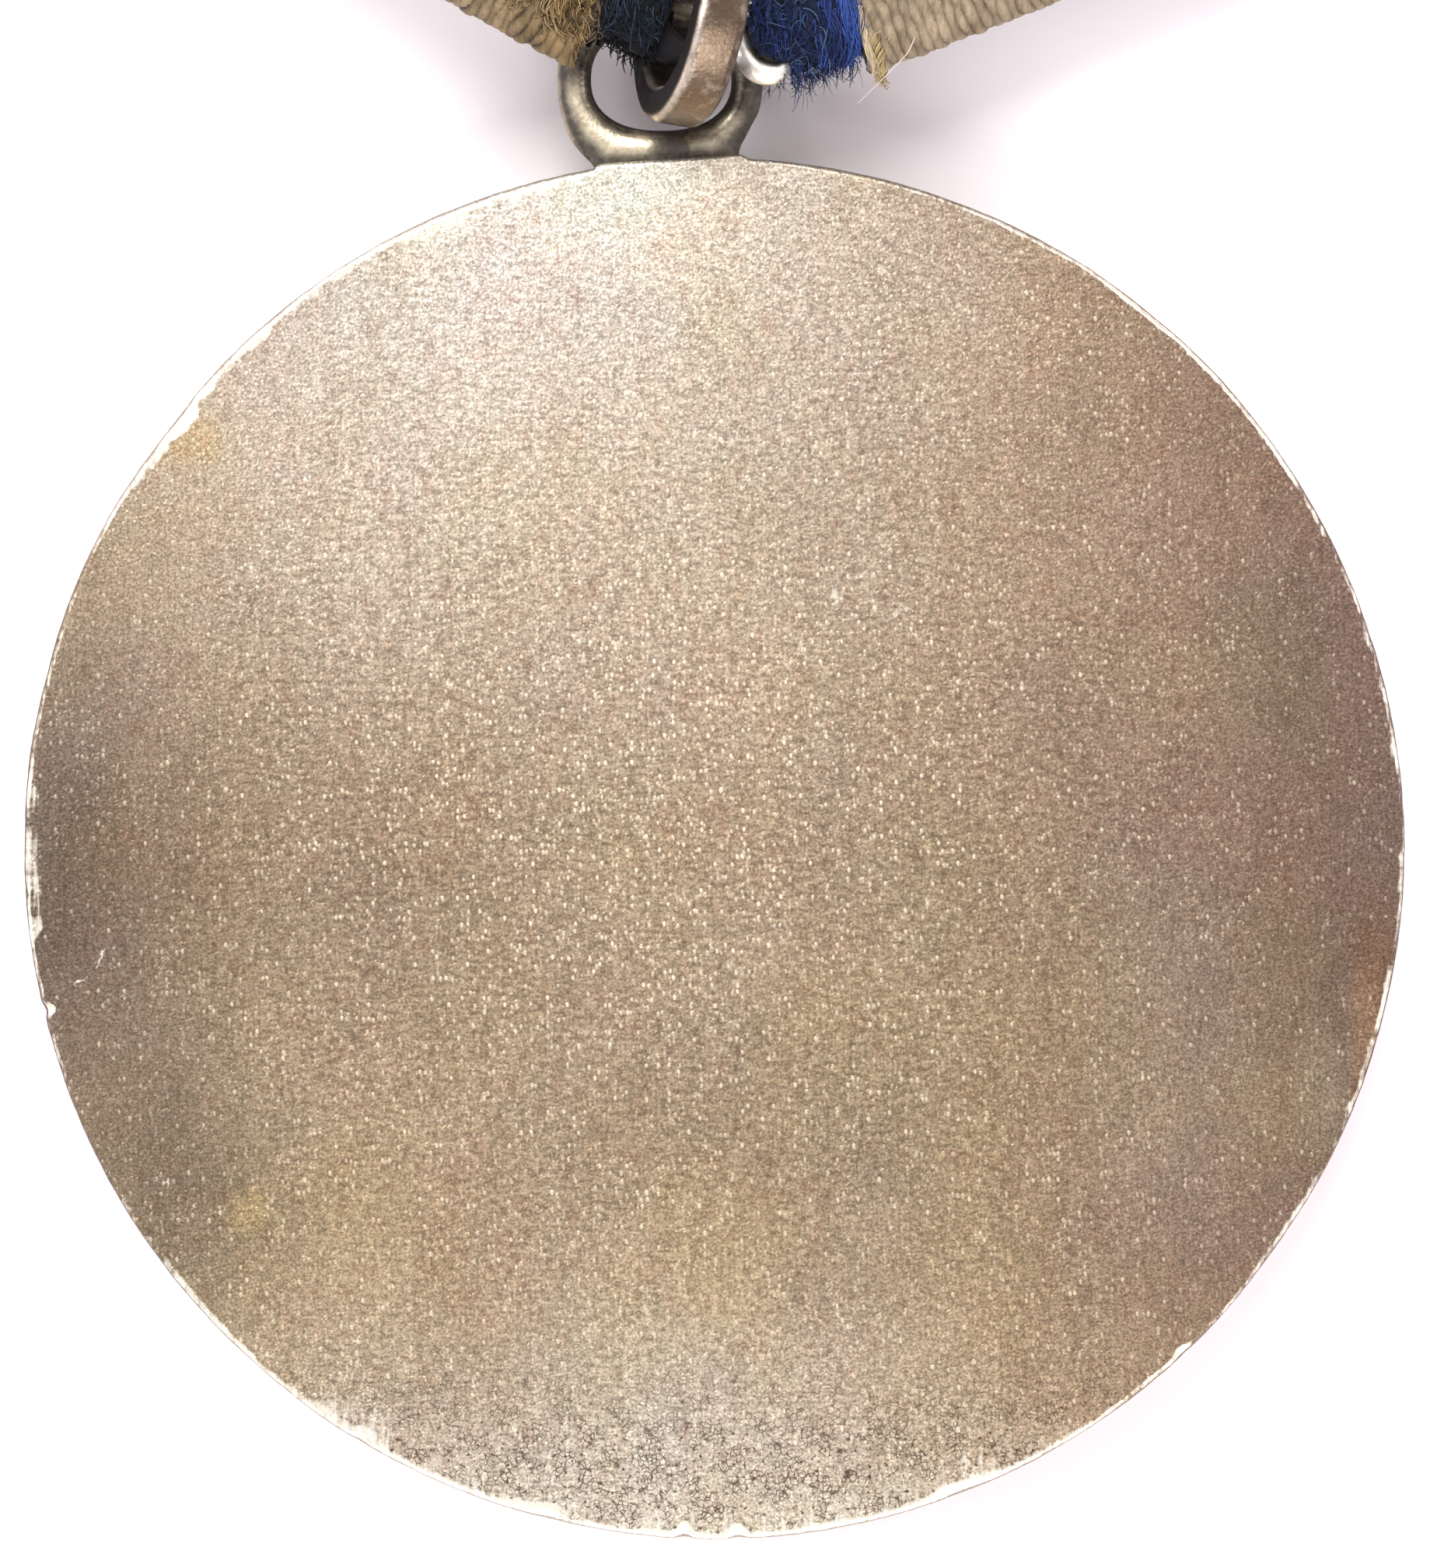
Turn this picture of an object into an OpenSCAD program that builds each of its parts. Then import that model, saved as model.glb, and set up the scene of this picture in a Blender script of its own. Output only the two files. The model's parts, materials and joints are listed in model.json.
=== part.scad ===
// Round medal lying face down, with an eyelet, a suspension ring and a ribbon-covered
// pentagonal mount that carries a sprung pin on its back. Millimetres.
// Frame: origin at the disc's centre on the surface it lies on, +Y towards the mount,
// +Z out of the plain reverse face.

/* [Disc] */
// diameter of the silver disc
disc_d = 37; // [30:0.5:45]
// thickness over the raised rim
disc_t = 2.7; // [2:0.05:4]
// width of the raised rim round the obverse
rim_w = 0.75; // [0.5:0.05:1.5]
// height of the rim above the obverse field
rim_h = 0.25; // [0.1:0.05:0.4]
// chamfer that softens the disc's edges
disc_chamfer = 0.15; // [0.05:0.05:0.4]
// radius of the enamelled roundel on the obverse
roundel_r = 5.6; // [3:0.1:8]
// leaves in each laurel spray
leaf_count = 7; // [4:1:10]

/* [Eyelet] */
// direction of the eyelet, counter-clockwise from +Y
eyelet_turn = 4; // [0:0.5:10]
// wire thickness of the eyelet
eyelet_wire_d = 0.9; // [0.7:0.05:1.4]
// width of the eyelet's hole
eyelet_hole_w = 3.8; // [3:0.1:5]
// height of the eyelet's hole
eyelet_hole_h = 2.95; // [2:0.05:4]
// height of the eyelet's mid-plane over the surface
eyelet_z = 1.95; // [1:0.05:2.2]

/* [Suspension ring] */
// outer radius of the ring
ring_ro = 3.45; // [3:0.05:5]
// radial thickness of the ring's flattened wire
ring_radial = 1.0; // [0.7:0.05:1.4]
// width of the ring's flattened wire along its axis
ring_axial = 1.4; // [0.8:0.05:2]
// how far the ring leans to +X
ring_lean = 16; // [0:1:20]
// how far the ring's long way is turned, clockwise from +Y
ring_turn = 8; // [0:1:20]

/* [Mount] */
// overall height of the covered mount
mount_h = 50; // [40:0.5:60]
// length of the top side
mount_top_w = 26; // [20:0.5:32]
// width between the shoulders
mount_wide_w = 45.8; // [36:0.2:56]
// slope of the two lower sides
lower_slope = 25; // [20:0.5:35]
// thickness of the brass plate
plate_t = 0.7; // [0.5:0.05:1]
// turn of the mount in the plane, clockwise
mount_turn = 3.65; // [0:0.05:10]
// width of the slot that the ring passes through
slot_w = 2.6; // [2:0.1:4]

/* [Ribbon] */
// width of the ribbon
ribbon_w = 24; // [20:0.5:32]
// thickness of the woven ribbon
ribbon_t = 0.3; // [0.2:0.05:0.5]
// length of the flaps folded over the lower sides
flap_len = 12; // [8:0.5:16]
// length of the flap folded over the top side
top_flap = 7; // [4:0.5:9]

/* [Pin] */
// thickness of the sprung pin wire
pin_d = 0.9; // [0.7:0.05:1.2]
// distance from the post to the catch
pin_span = 25; // [18:0.5:28]
// height of the pin above the mount's tip
pin_v = 34; // [28:0.5:38]

/* [Hidden] */
$fn = 64;
disc_r = disc_d / 2;
flat_r = disc_r - 0.1;             // distance of the filed flat under the eyelet
hole_r = eyelet_hole_h / 2;
loop_r = hole_r + eyelet_wire_d / 2;
loop_half = eyelet_hole_w / 2 - hole_r;
loop_y = flat_r + eyelet_wire_d + hole_r;
ring_pos = [-0.58, 22.8, 3.47];
mount_tip = [-0.33, 19.04];        // where the two lower sides would meet
bar_v = 1.95;                      // centre of the plate's tip bar
bar_half = 0.45;
bar_z = 3.8;
layer_gap = 0.03;
edge_gap = 0.05;
side_in = plate_t / 2 + layer_gap; // inner face of the first ribbon layer
side_out = side_in + ribbon_t;
band_in = side_out + layer_gap;    // inner face of the front band
band_out = band_in + ribbon_t;
mount_pitch = asin((bar_z - band_out) / (mount_h - bar_v)); // its top edge rests on the surface
half_top = mount_top_w / 2;
half_wide = mount_wide_w / 2;
shoulder_v = half_wide * tan(lower_slope);
lateral_run = half_wide - half_top;
lateral_rise = mount_h - shoulder_v;
lateral_tilt = atan(lateral_run / lateral_rise);
edge_inset = (ribbon_t + edge_gap) / cos(lower_slope);
lip = 0.18;                        // softening of the fold's outer corners
lip_v = lip / cos(lower_slope);
plate_top_v = mount_h - 2 * ribbon_t - layer_gap - edge_gap;
slot_v0 = bar_v + bar_half;
slot_v1 = 7.9;
notch_half = slot_w / 2 + 0.1;     // ribbon kept clear of the slot's sides
strip_t = 0.6;
strip_w = 4.6;
strip_z = plate_t / 2;
strip_top = strip_z + strip_t;
post_r = 0.8;
post_clear = 0.05;
coil_r = post_r + post_clear + pin_d / 2;
arm_z = strip_top + 0.1 + pin_d / 2;
stitch_d = 0.26;

silver = [0.66, 0.63, 0.60];
old_brass = [0.62, 0.50, 0.28];
enamel_red = [0.55, 0.08, 0.08];
tan_cloth = [0.62, 0.56, 0.44];
thread = [0.45, 0.42, 0.36];
steel = [0.55, 0.55, 0.56];

// ---- placement ----

module at_eyelet() { rotate([0, 0, eyelet_turn]) children(); }

module at_mount() {
  translate([mount_tip[0], mount_tip[1], bar_z + bar_v * sin(mount_pitch)])
    rotate([0, 0, -mount_turn]) rotate([-mount_pitch, 0, 0]) children();
}

module at_ring() {
  translate(ring_pos) rotate([0, 0, -ring_turn]) rotate([0, ring_lean, 0])
    rotate([0, 90, 0]) children();
}

module rod(a, b, d) {
  v = b - a;
  translate(a) rotate([0, acos(v[2] / norm(v)), atan2(v[1], v[0])])
    cylinder(h = norm(v), d = d, $fn = 24);
}

// ---- medal ----

// a pointed laurel leaf along +Y, len long
module leaf(len, wid) {
  r = (len * len / 4 + wid * wid / 4) / wid;
  intersection() {
    translate([r - wid / 2, len / 2]) circle(r, $fn = 48);
    translate([wid / 2 - r, len / 2]) circle(r, $fn = 48);
  }
}

module laurel_spray(side) {
  for (i = [0 : leaf_count - 1]) {
    a = 200 + i * 130 / leaf_count;
    for (tilt = [-28, 28])
      rotate([0, 0, side * (a - 180)]) translate([0, -13.2, 0])
        rotate([0, 0, side * (90 + tilt)]) translate([0, 0, 0.08])
          linear_extrude(0.4) leaf(3.4, 1.35);
  }
}

module medal_disc() color(silver) {
  c = disc_chamfer;
  difference() {
    union() {
      rotate_extrude($fn = 180) polygon([
        [0, rim_h], [disc_r - rim_w - 0.08, rim_h], [disc_r - rim_w, 0.04],
        [disc_r - rim_w + 0.06, 0], [disc_r - c, 0], [disc_r - c * 0.3, c * 0.3],
        [disc_r, c], [disc_r, disc_t - c], [disc_r - c * 0.3, disc_t - c * 0.3],
        [disc_r - c, disc_t], [0, disc_t]]);
      laurel_spray(1);
      laurel_spray(-1);
      cylinder(h = 0.4, r = roundel_r + 0.6, $fn = 96);
    }
    translate([0, 0, -1]) cylinder(h = 1.5, r = roundel_r, $fn = 96);
    at_eyelet() translate([-4, flat_r, -1]) cube([8, 2, disc_t + 2]);
  }
}

module enamel_roundel() color(enamel_red)
  cylinder(h = 0.5, r = roundel_r - 0.02, $fn = 96);

module eyelet_loop() color(silver)
  at_eyelet() translate([0, loop_y, eyelet_z]) {
    for (s = [0, 1]) mirror([s, 0, 0]) translate([loop_half, 0, 0])
      rotate([0, 0, -90]) rotate_extrude(angle = 180, $fn = 72)
        translate([loop_r, 0]) circle(d = eyelet_wire_d, $fn = 32);
    for (s = [-1, 1]) translate([-loop_half, s * loop_r, 0])
      rotate([0, 90, 0]) cylinder(h = 2 * loop_half, d = eyelet_wire_d, $fn = 32);
  }

// braze metal that fills the corners between the eyelet and the flat on the rim
module eyelet_braze() color(silver)
  at_eyelet() difference() {
    translate([-loop_half, flat_r, eyelet_z - 0.5]) cube([2 * loop_half, 0.26, 1.0]);
    translate([-3, flat_r + eyelet_wire_d / 2, eyelet_z])
      rotate([0, 90, 0]) cylinder(h = 6, d = eyelet_wire_d, $fn = 32);
  }

// ---- ring ----

module suspension_ring() color(silver) at_ring() {
  c = 0.28;
  ri = ring_ro - ring_radial;
  h = ring_axial / 2;
  rotate_extrude($fn = 96) polygon([
    [ri, -h + c], [ri + c * 0.3, -h + c * 0.3], [ri + c, -h], [ring_ro - c, -h],
    [ring_ro - c * 0.3, -h + c * 0.3], [ring_ro, -h + c], [ring_ro, h - c],
    [ring_ro - c * 0.3, h - c * 0.3], [ring_ro - c, h], [ri + c, h],
    [ri + c * 0.3, h - c * 0.3], [ri, h - c]]);
}

// ---- mount ----

function lower_v(x) = abs(x) * tan(lower_slope);
function side_x(v) = half_wide - (v - shoulder_v) * lateral_run / lateral_rise;

module plate_outline() {
  tip_half = (slot_v0 - 2 * bar_half - edge_inset) / tan(lower_slope);
  side = half_wide - 0.3;
  polygon([[-tip_half, slot_v0 - 2 * bar_half], [tip_half, slot_v0 - 2 * bar_half],
           [side, lower_v(side) + edge_inset], [half_top - 0.3, plate_top_v],
           [-half_top + 0.3, plate_top_v], [-side, lower_v(side) + edge_inset]]);
}

module mount_plate() color(old_brass) at_mount()
  translate([0, 0, -plate_t / 2]) difference() {
    linear_extrude(plate_t) plate_outline();
    // slot with rounded ends
    translate([0, slot_v0 + slot_w / 2, -1]) cylinder(h = 3, d = slot_w, $fn = 48);
    translate([0, slot_v1 - slot_w / 2, -1]) cylinder(h = 3, d = slot_w, $fn = 48);
    translate([-slot_w / 2, slot_v0 + slot_w / 2, -1])
      cube([slot_w, slot_v1 - slot_v0 - slot_w, 3]);
    // seats of the two rivets
    for (s = [-1, 1]) translate([s * 6, pin_v, -1]) cylinder(h = 3, r = 0.75, $fn = 32);
  }

// half of the ribbon's front layer, from the lower side to the top side
module front_half(end_x) {
  polygon([[end_x, lower_v(end_x) + lip_v], [half_wide, shoulder_v + lip_v],
           [side_x(plate_top_v), plate_top_v], [0.1, plate_top_v], [0.1, slot_v1 + 0.3],
           [notch_half, slot_v1 + 0.3], [notch_half, 2.75]]);
}

// flap on the back: the ribbon's length runs along the lateral side
module back_flap(end_x) {
  up = [half_wide - flap_len * sin(lateral_tilt), shoulder_v + flap_len * cos(lateral_tilt)];
  across = (up[0] - 0.1) / cos(lateral_tilt);
  polygon([[end_x, lower_v(end_x) + lip_v], [half_wide, shoulder_v + lip_v], up,
           [0.1, up[1] - across * sin(lateral_tilt)], [0.1, slot_v1 + 0.3],
           [notch_half, slot_v1 + 0.3], [notch_half, 2.75]]);
}

// one side of the ribbon: front layer, fold round the lower side and flap on the back
module side_wrap(end_x) {
  start = end_x / cos(lower_slope) + 0.1;
  fold_len = half_wide / cos(lower_slope) - 0.1;
  translate([0, 0, -side_out]) linear_extrude(ribbon_t) front_half(end_x);
  translate([0, 0, side_in]) linear_extrude(ribbon_t) back_flap(end_x);
  rotate([0, 0, lower_slope]) translate([start, 0, 0]) rotate([90, 0, 90])
    linear_extrude(fold_len - start) polygon([
      [lip, -side_out], [0, -side_out + lip], [0, side_out - lip], [lip, side_out],
      [ribbon_t, side_out], [ribbon_t, -side_out]]);
}

module ribbon_right_wrap() color(tan_cloth) at_mount() side_wrap(4.4);
module ribbon_left_wrap() color(tan_cloth) at_mount() mirror([1, 0, 0]) side_wrap(3.4);

// vertical band over the front, folded over the top side
module ribbon_front_band() color(tan_cloth) at_mount() {
  half = ribbon_w / 2;
  foot = 3.4;
  top_in = mount_h - ribbon_t;
  translate([0, 0, -band_out]) linear_extrude(ribbon_t) difference() {
    polygon([[-foot, lower_v(foot) + 0.2], [-half, lower_v(half) + 0.2], [-half, mount_h],
             [half, mount_h], [half, lower_v(half) + 0.2], [foot, lower_v(foot) + 0.2],
             [notch_half, 2.95], [notch_half, slot_v1 + 0.3],
             [-notch_half, slot_v1 + 0.3], [-notch_half, 2.95]]);
  }
  translate([-half, top_in, -band_out]) cube([2 * half, ribbon_t, band_out + side_out]);
  translate([-half, mount_h - top_flap, side_in]) cube([2 * half, top_flap, ribbon_t]);
}

// short running stitches that hold the flaps down
module stitch(p, dir, len) {
  z = side_out + stitch_d / 2;
  rod([p[0] - dir[0] * len / 2, p[1] - dir[1] * len / 2, z],
      [p[0] + dir[0] * len / 2, p[1] + dir[1] * len / 2, z], stitch_d);
}

module ribbon_stitches() color(thread) at_mount() {
  across = [cos(lateral_tilt), sin(lateral_tilt)];
  along = [-sin(lateral_tilt), cos(lateral_tilt)];
  base = [half_wide, shoulder_v] + along * (flap_len - 1.3);
  for (s = [-1, 1], i = [0 : 4]) {
    p = base - across * (2 + i * 3.7);
    stitch([s * p[0], p[1]], [s * across[0], across[1]], 1.7);
  }
  for (i = [-2 : 2]) stitch([i * 4.6, mount_h - top_flap + 1.2], [1, 0], 1.9);
}

// ---- pin ----

module pin_strip() color(old_brass) at_mount() translate([0, pin_v, strip_z])
  difference() {
    union() {
      translate([-pin_span / 2, -strip_w / 2, 0]) cube([pin_span, strip_w, strip_t]);
      for (s = [-1, 1]) translate([s * pin_span / 2, 0, 0])
        cylinder(h = strip_t, d = strip_w, $fn = 48);
    }
    for (s = [-1, 1]) translate([s * 6, 0, -1]) cylinder(h = 3, r = 0.75, $fn = 32);
    translate([pin_span / 2, 0, -1]) cylinder(h = 3, r = post_r, $fn = 32);
  }

module strip_rivets() color(old_brass) at_mount() for (s = [-1, 1])
  translate([s * 6, pin_v, -plate_t / 2]) {
    cylinder(h = plate_t + strip_t, r = 0.75, $fn = 32);
    translate([0, 0, plate_t + strip_t]) cylinder(h = 0.06, r = 0.75, $fn = 32);
  }

module pin_post() color(old_brass) at_mount() translate([pin_span / 2, pin_v, strip_z]) {
  cylinder(h = strip_t + pin_d + 0.3, r = post_r, $fn = 32);
  translate([0, 0, strip_t + pin_d + 0.3]) cylinder(h = 0.3, r = post_r + 0.6, $fn = 32);
}

// hooked catch, open on the side towards the top of the mount
module pin_catch() color(old_brass) at_mount()
  translate([-pin_span / 2 - 1.2, pin_v - coil_r, strip_top]) {
    translate([0, -1.0, 0]) cube([2.4, 0.4, pin_d + 0.7]);
    translate([0, -1.0, pin_d + 0.3]) cube([2.4, 1.7, 0.4]);
    translate([0, 0.7, pin_d + 0.5]) rotate([0, 90, 0]) cylinder(h = 2.4, d = 0.4, $fn = 24);
  }

// sprung pin: an eye of wire round the post, a straight arm and a ground point
module pin_wire() color(steel) at_mount() translate([pin_span / 2, pin_v, arm_z]) {
  arm = pin_span - 0.4;
  rotate([0, 0, -90]) rotate_extrude(angle = 280, $fn = 72)
    translate([coil_r, 0]) circle(d = pin_d, $fn = 28);
  translate([0, -coil_r, 0]) rotate([0, -90, 0]) {
    cylinder(h = arm, d = pin_d, $fn = 28);
    translate([0, 0, arm]) cylinder(h = 2.6, d1 = pin_d, d2 = 0.1, $fn = 28);
  }
}

medal_disc();
enamel_roundel();
eyelet_loop();
eyelet_braze();
suspension_ring();
mount_plate();
ribbon_left_wrap();
ribbon_right_wrap();
ribbon_front_band();
ribbon_stitches();
pin_strip();
strip_rivets();
pin_post();
pin_catch();
pin_wire();
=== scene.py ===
"""Looks for the round silver medal: worn disc, eyelet, ring, covered mount and pin."""
import json
import math

import bpy
import numpy as np
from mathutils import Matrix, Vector


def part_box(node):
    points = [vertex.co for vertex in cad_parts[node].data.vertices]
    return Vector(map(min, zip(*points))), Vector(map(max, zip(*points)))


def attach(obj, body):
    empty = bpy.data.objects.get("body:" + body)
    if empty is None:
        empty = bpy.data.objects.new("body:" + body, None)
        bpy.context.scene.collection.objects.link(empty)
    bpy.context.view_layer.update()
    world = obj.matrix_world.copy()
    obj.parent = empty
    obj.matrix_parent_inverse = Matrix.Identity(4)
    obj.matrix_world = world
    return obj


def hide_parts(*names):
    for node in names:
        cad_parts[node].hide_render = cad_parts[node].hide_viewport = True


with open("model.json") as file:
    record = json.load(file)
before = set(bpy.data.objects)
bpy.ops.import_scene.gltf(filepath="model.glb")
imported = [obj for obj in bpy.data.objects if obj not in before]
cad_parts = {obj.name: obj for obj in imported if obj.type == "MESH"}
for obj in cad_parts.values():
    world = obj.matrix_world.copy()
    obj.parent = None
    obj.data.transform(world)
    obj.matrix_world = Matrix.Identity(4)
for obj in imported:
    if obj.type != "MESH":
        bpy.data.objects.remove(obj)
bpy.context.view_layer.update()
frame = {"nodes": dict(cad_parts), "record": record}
MM = 0.001
joints = {j["name"]: j for j in frame["record"]["behaviour"]["joints"]}


def mm(v):
    return np.array([float(c) for c in v]) / MM


# ---- frames of the pieces, in millimetres ----
disc_lo, disc_hi = (mm(c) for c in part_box("medal_disc"))
DISC_R = (disc_hi[0] - disc_lo[0]) / 2
DISC_T = disc_hi[2]
RIM_W, RIM_H = 0.75, 0.25
EYE_TURN = math.radians(4.0)
FLAT_R = DISC_R - 0.1
eye_lo, eye_hi = (mm(c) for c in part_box("eyelet_loop"))
EYE_Z = (eye_lo[2] + eye_hi[2]) / 2
WIRE_R = 0.45
HOLE_W, HOLE_H = 3.8, 2.95
ring_lo, ring_hi = (mm(c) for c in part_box("suspension_ring"))
RING_C = (ring_lo + ring_hi) / 2
RING_RO, RING_RADIAL, RING_AXIAL = 3.45, 1.0, 1.4
RING_LEAN, RING_TURN = math.radians(16), math.radians(8)

ax_u = np.array(joints["mount_lift"]["axis"], float)
ax_n = -np.array(joints["pin_open"]["axis"], float)
ax_n /= np.linalg.norm(ax_n)
ax_v = np.cross(ax_n, ax_u)
ax_v /= np.linalg.norm(ax_v)
BAR_V = 1.95
MOUNT_O = mm(joints["mount_lift"]["pos_m"]) - BAR_V * ax_v
MOUNT_M = np.stack([ax_u, ax_v, ax_n], axis=1)

SLOPE = math.radians(25)
HALF_TOP, HALF_WIDE, MOUNT_H = 13.0, 22.9, 50.0
SHOULDER = HALF_WIDE * math.tan(SLOPE)
TILT = math.atan((HALF_WIDE - HALF_TOP) / (MOUNT_H - SHOULDER))
EDGE = np.array([math.cos(SLOPE), math.sin(SLOPE)])
WARP = np.array([-math.sin(TILT), math.cos(TILT)])
PLATE_H, PLATE_ROUND = 0.35, 0.22
BAND_Z, FLAP_Z = -0.86, 0.51
SLOT_HALF, SLOT_V0, SLOT_V1 = 1.3, 2.4, 7.9


def mount_to_row(p):
    return np.asarray(p) @ MOUNT_M.T + MOUNT_O


# ---- small helpers ----
def hash01(n, seed=0.0):
    n = np.asarray(n, float)
    return np.mod(np.sin(n * 12.9898 + seed * 78.233) * 43758.5453, 1.0)


def noise1(x, seed=0.0):
    i = np.floor(x)
    f = x - i
    f = f * f * (3 - 2 * f)
    return hash01(i, seed) * (1 - f) + hash01(i + 1, seed) * f


def noise2(x, y, seed=0.0):
    ix, iy = np.floor(x), np.floor(y)
    fx, fy = x - ix, y - iy
    fx, fy = fx * fx * (3 - 2 * fx), fy * fy * (3 - 2 * fy)
    h = lambda a, b: hash01(a + b * 57.31, seed)
    return (h(ix, iy) * (1 - fx) + h(ix + 1, iy) * fx) * (1 - fy) + \
        (h(ix, iy + 1) * (1 - fx) + h(ix + 1, iy + 1) * fx) * fy


def smooth(a, b, x):
    t = np.clip((np.asarray(x, float) - a) / (b - a), 0, 1)
    return t * t * (3 - 2 * t)

def bell(x, centre, width):
    """Bell curve, 1 at its centre."""
    return np.exp(-((x - centre) / width) ** 2)


def spin(a, b, angle):
    """Coordinates a and b turned by an angle, towards b."""
    c, s = np.cos(angle), np.sin(angle)
    return a * c - b * s, a * s + b * c


def away(theta, deg):
    """Signed angle from the direction deg, in degrees."""
    return np.degrees((theta - math.radians(deg) + math.pi) % (2 * math.pi) - math.pi)


def arc(theta, centre, half, soft=24):
    """1 within half degrees of a direction, fading to 0 over soft degrees more."""
    return smooth(half + soft, half, np.abs(away(theta, centre)))


def blend(a, b, share):
    return a * (1 - share) + b * share


def stack(*parts):
    return np.stack(parts, axis=-1)


def lin(r, g, b):
    """Display colour 0-255 to linear."""
    return [((c / 255 + 0.055) / 1.055) ** 2.4 if c > 10 else c / 255 / 12.92 for c in (r, g, b)]


def new_object(name, data):
    ob = bpy.data.objects.new(name, data)
    bpy.context.scene.collection.objects.link(ob)
    return ob


def add_object(name, verts, faces, mat, body, colour=None, uv=None, mask=None):
    """Mesh piece from points in mm, riding on a body, in a material slot."""
    me = bpy.data.meshes.new(name)
    faces = faces.tolist() if isinstance(faces, np.ndarray) else faces
    me.from_pydata((np.asarray(verts) * MM).tolist(), [], faces)
    me.update()
    for label, values in (("tone", colour), ("mask", mask)):
        if values is not None:
            layer = me.color_attributes.new(label, "FLOAT_COLOR", "POINT")
            full = np.ones((len(verts), 4), np.float32)
            full[:, :3] = values
            layer.data.foreach_set("color", full.ravel())
    if uv is not None:
        layer = me.uv_layers.new(name="weave")
        loops = np.zeros(len(me.loops), np.int64)
        me.loops.foreach_get("vertex_index", loops)
        layer.data.foreach_set("uv", np.asarray(uv, np.float32)[loops].ravel())
    me.polygons.foreach_set("use_smooth", np.ones(len(me.polygons), bool))
    ob = new_object(name, me)
    me.materials.append(mat)
    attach(ob, body)
    return ob


def grid_faces(rows, cols, wrap_cols=False, wrap_rows=False, keep=None, flip=False):
    """Quads of a rows x cols grid of points, numbered row by row."""
    r = np.arange(rows if wrap_rows else rows - 1)
    c = np.arange(cols if wrap_cols else cols - 1)
    rr, cc = np.meshgrid(r, c, indexing="ij")
    r2, c2 = (rr + 1) % rows, (cc + 1) % cols
    quad = np.stack([rr * cols + cc, rr * cols + c2, r2 * cols + c2, r2 * cols + cc], axis=-1)
    if flip:
        quad = quad[..., ::-1]
    quad = quad.reshape(-1, 4)
    if keep is not None:
        quad = quad[keep.ravel()]
    return quad


def drop_loose(verts, faces, *arrays):
    """Only the points that faces use, with the faces and arrays renumbered to match."""
    used = np.unique(faces)
    new = np.full(len(verts), -1)
    new[used] = np.arange(len(used))
    return [verts[used], new[faces]] + [a[used] for a in arrays]


def tube(path, radius, out, up, sides):
    """Rings of points round a path."""
    a = np.arange(sides) * 2 * math.pi / sides
    return path[:, None] + radius[:, None, None] * (np.cos(a)[None, :, None] * out[:, None]
                                                    + np.sin(a)[None, :, None] * up[:, None])


def rounded_path(points, count, reach):
    """A path through points, divided into count and averaged over reach steps each way."""
    p = np.array(points, float)
    t = np.linspace(0, len(p) - 1, count)
    window = np.ones(2 * reach + 1) / (2 * reach + 1)
    padded = (np.pad(np.interp(t, np.arange(len(p)), c), reach, mode="edge") for c in p.T)
    return t, stack(*(np.convolve(c, window, "valid") for c in padded))


# ---- materials ----
class Look:
    """A material, with short calls that add nodes to it."""

    def __init__(self, name):
        self.material = bpy.data.materials.new(name)
        self.material.use_nodes = True
        self.tree = self.material.node_tree
        self.shader = self.tree.nodes["Principled BSDF"]

    def feed(self, socket, value):
        """Set a socket to a number or a colour, or link it to another socket."""
        if isinstance(value, (int, float)):
            socket.default_value = value
        elif isinstance(value, (list, tuple)):
            socket.default_value = (*value[:3], 1.0)
        else:
            self.tree.links.new(value, socket)

    def put(self, **inputs):
        """Feed the shader's own sockets."""
        for name, value in inputs.items():
            self.feed(self.shader.inputs[name.replace("_", " ")], value)
        return self.material

    def node(self, kind, **values):
        n = self.tree.nodes.new("ShaderNode" + kind)
        for k, v in values.items():
            if hasattr(n, k):
                setattr(n, k, v)
            else:
                n.inputs[k.replace("_", " ")].default_value = v
        return n

    def at(self, vector, kind, **values):
        """A texture node read at a vector."""
        n = self.node(kind, **values)
        self.feed(n.inputs["Vector"], vector)
        return n

    def coords(self, scale=(1, 1, 1)):
        where = self.node("TexCoord").outputs["Object"]
        return self.at(where, "Mapping", Scale=scale).outputs["Vector"]

    def noise(self, vector, scale, detail=3.0, rough=0.55):
        n = self.at(vector, "TexNoise", Scale=scale, Detail=detail, Roughness=rough)
        return n.outputs["Fac"]

    def remap(self, value, a, b, c=0.0, d=1.0):
        n = self.node("MapRange", From_Min=a, From_Max=b, To_Min=c, To_Max=d)
        self.feed(n.inputs["Value"], value)
        return n.outputs["Result"]

    def math(self, op, a, b):
        n = self.node("Math", operation=op)
        self.feed(n.inputs[0], a)
        self.feed(n.inputs[1], b)
        return n.outputs["Value"]

    def add(self, a, b):
        return self.math("ADD", a, b)

    def times(self, a, b):
        return self.math("MULTIPLY", a, b)

    def less(self, a, b):
        return self.math("SUBTRACT", a, b)

    def mix(self, share, a, b, kind="MIX"):
        n = self.node("Mix", data_type="RGBA", blend_type=kind)
        for i, v in ((0, share), (6, a), (7, b)):
            self.feed(n.inputs[i], v)
        return n.outputs[2]

    def tint(self, share, a, b):
        """Colour a multiplied by colour b, by a share."""
        return self.mix(share, a, b, "MULTIPLY")

    def tone(self, name="tone"):
        return self.node("Attribute", attribute_name=name).outputs["Color"]

    def split(self, colour):
        n = self.node("SeparateColor")
        self.feed(n.inputs["Color"], colour)
        return [n.outputs[c] for c in ("Red", "Green", "Blue")]

    def bump(self, height, strength, distance, normal=None):
        n = self.node("Bump", Strength=strength, Distance=distance)
        self.feed(n.inputs["Height"], height)
        if normal is not None:
            self.feed(n.inputs["Normal"], normal)
        return n.outputs["Normal"]


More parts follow.
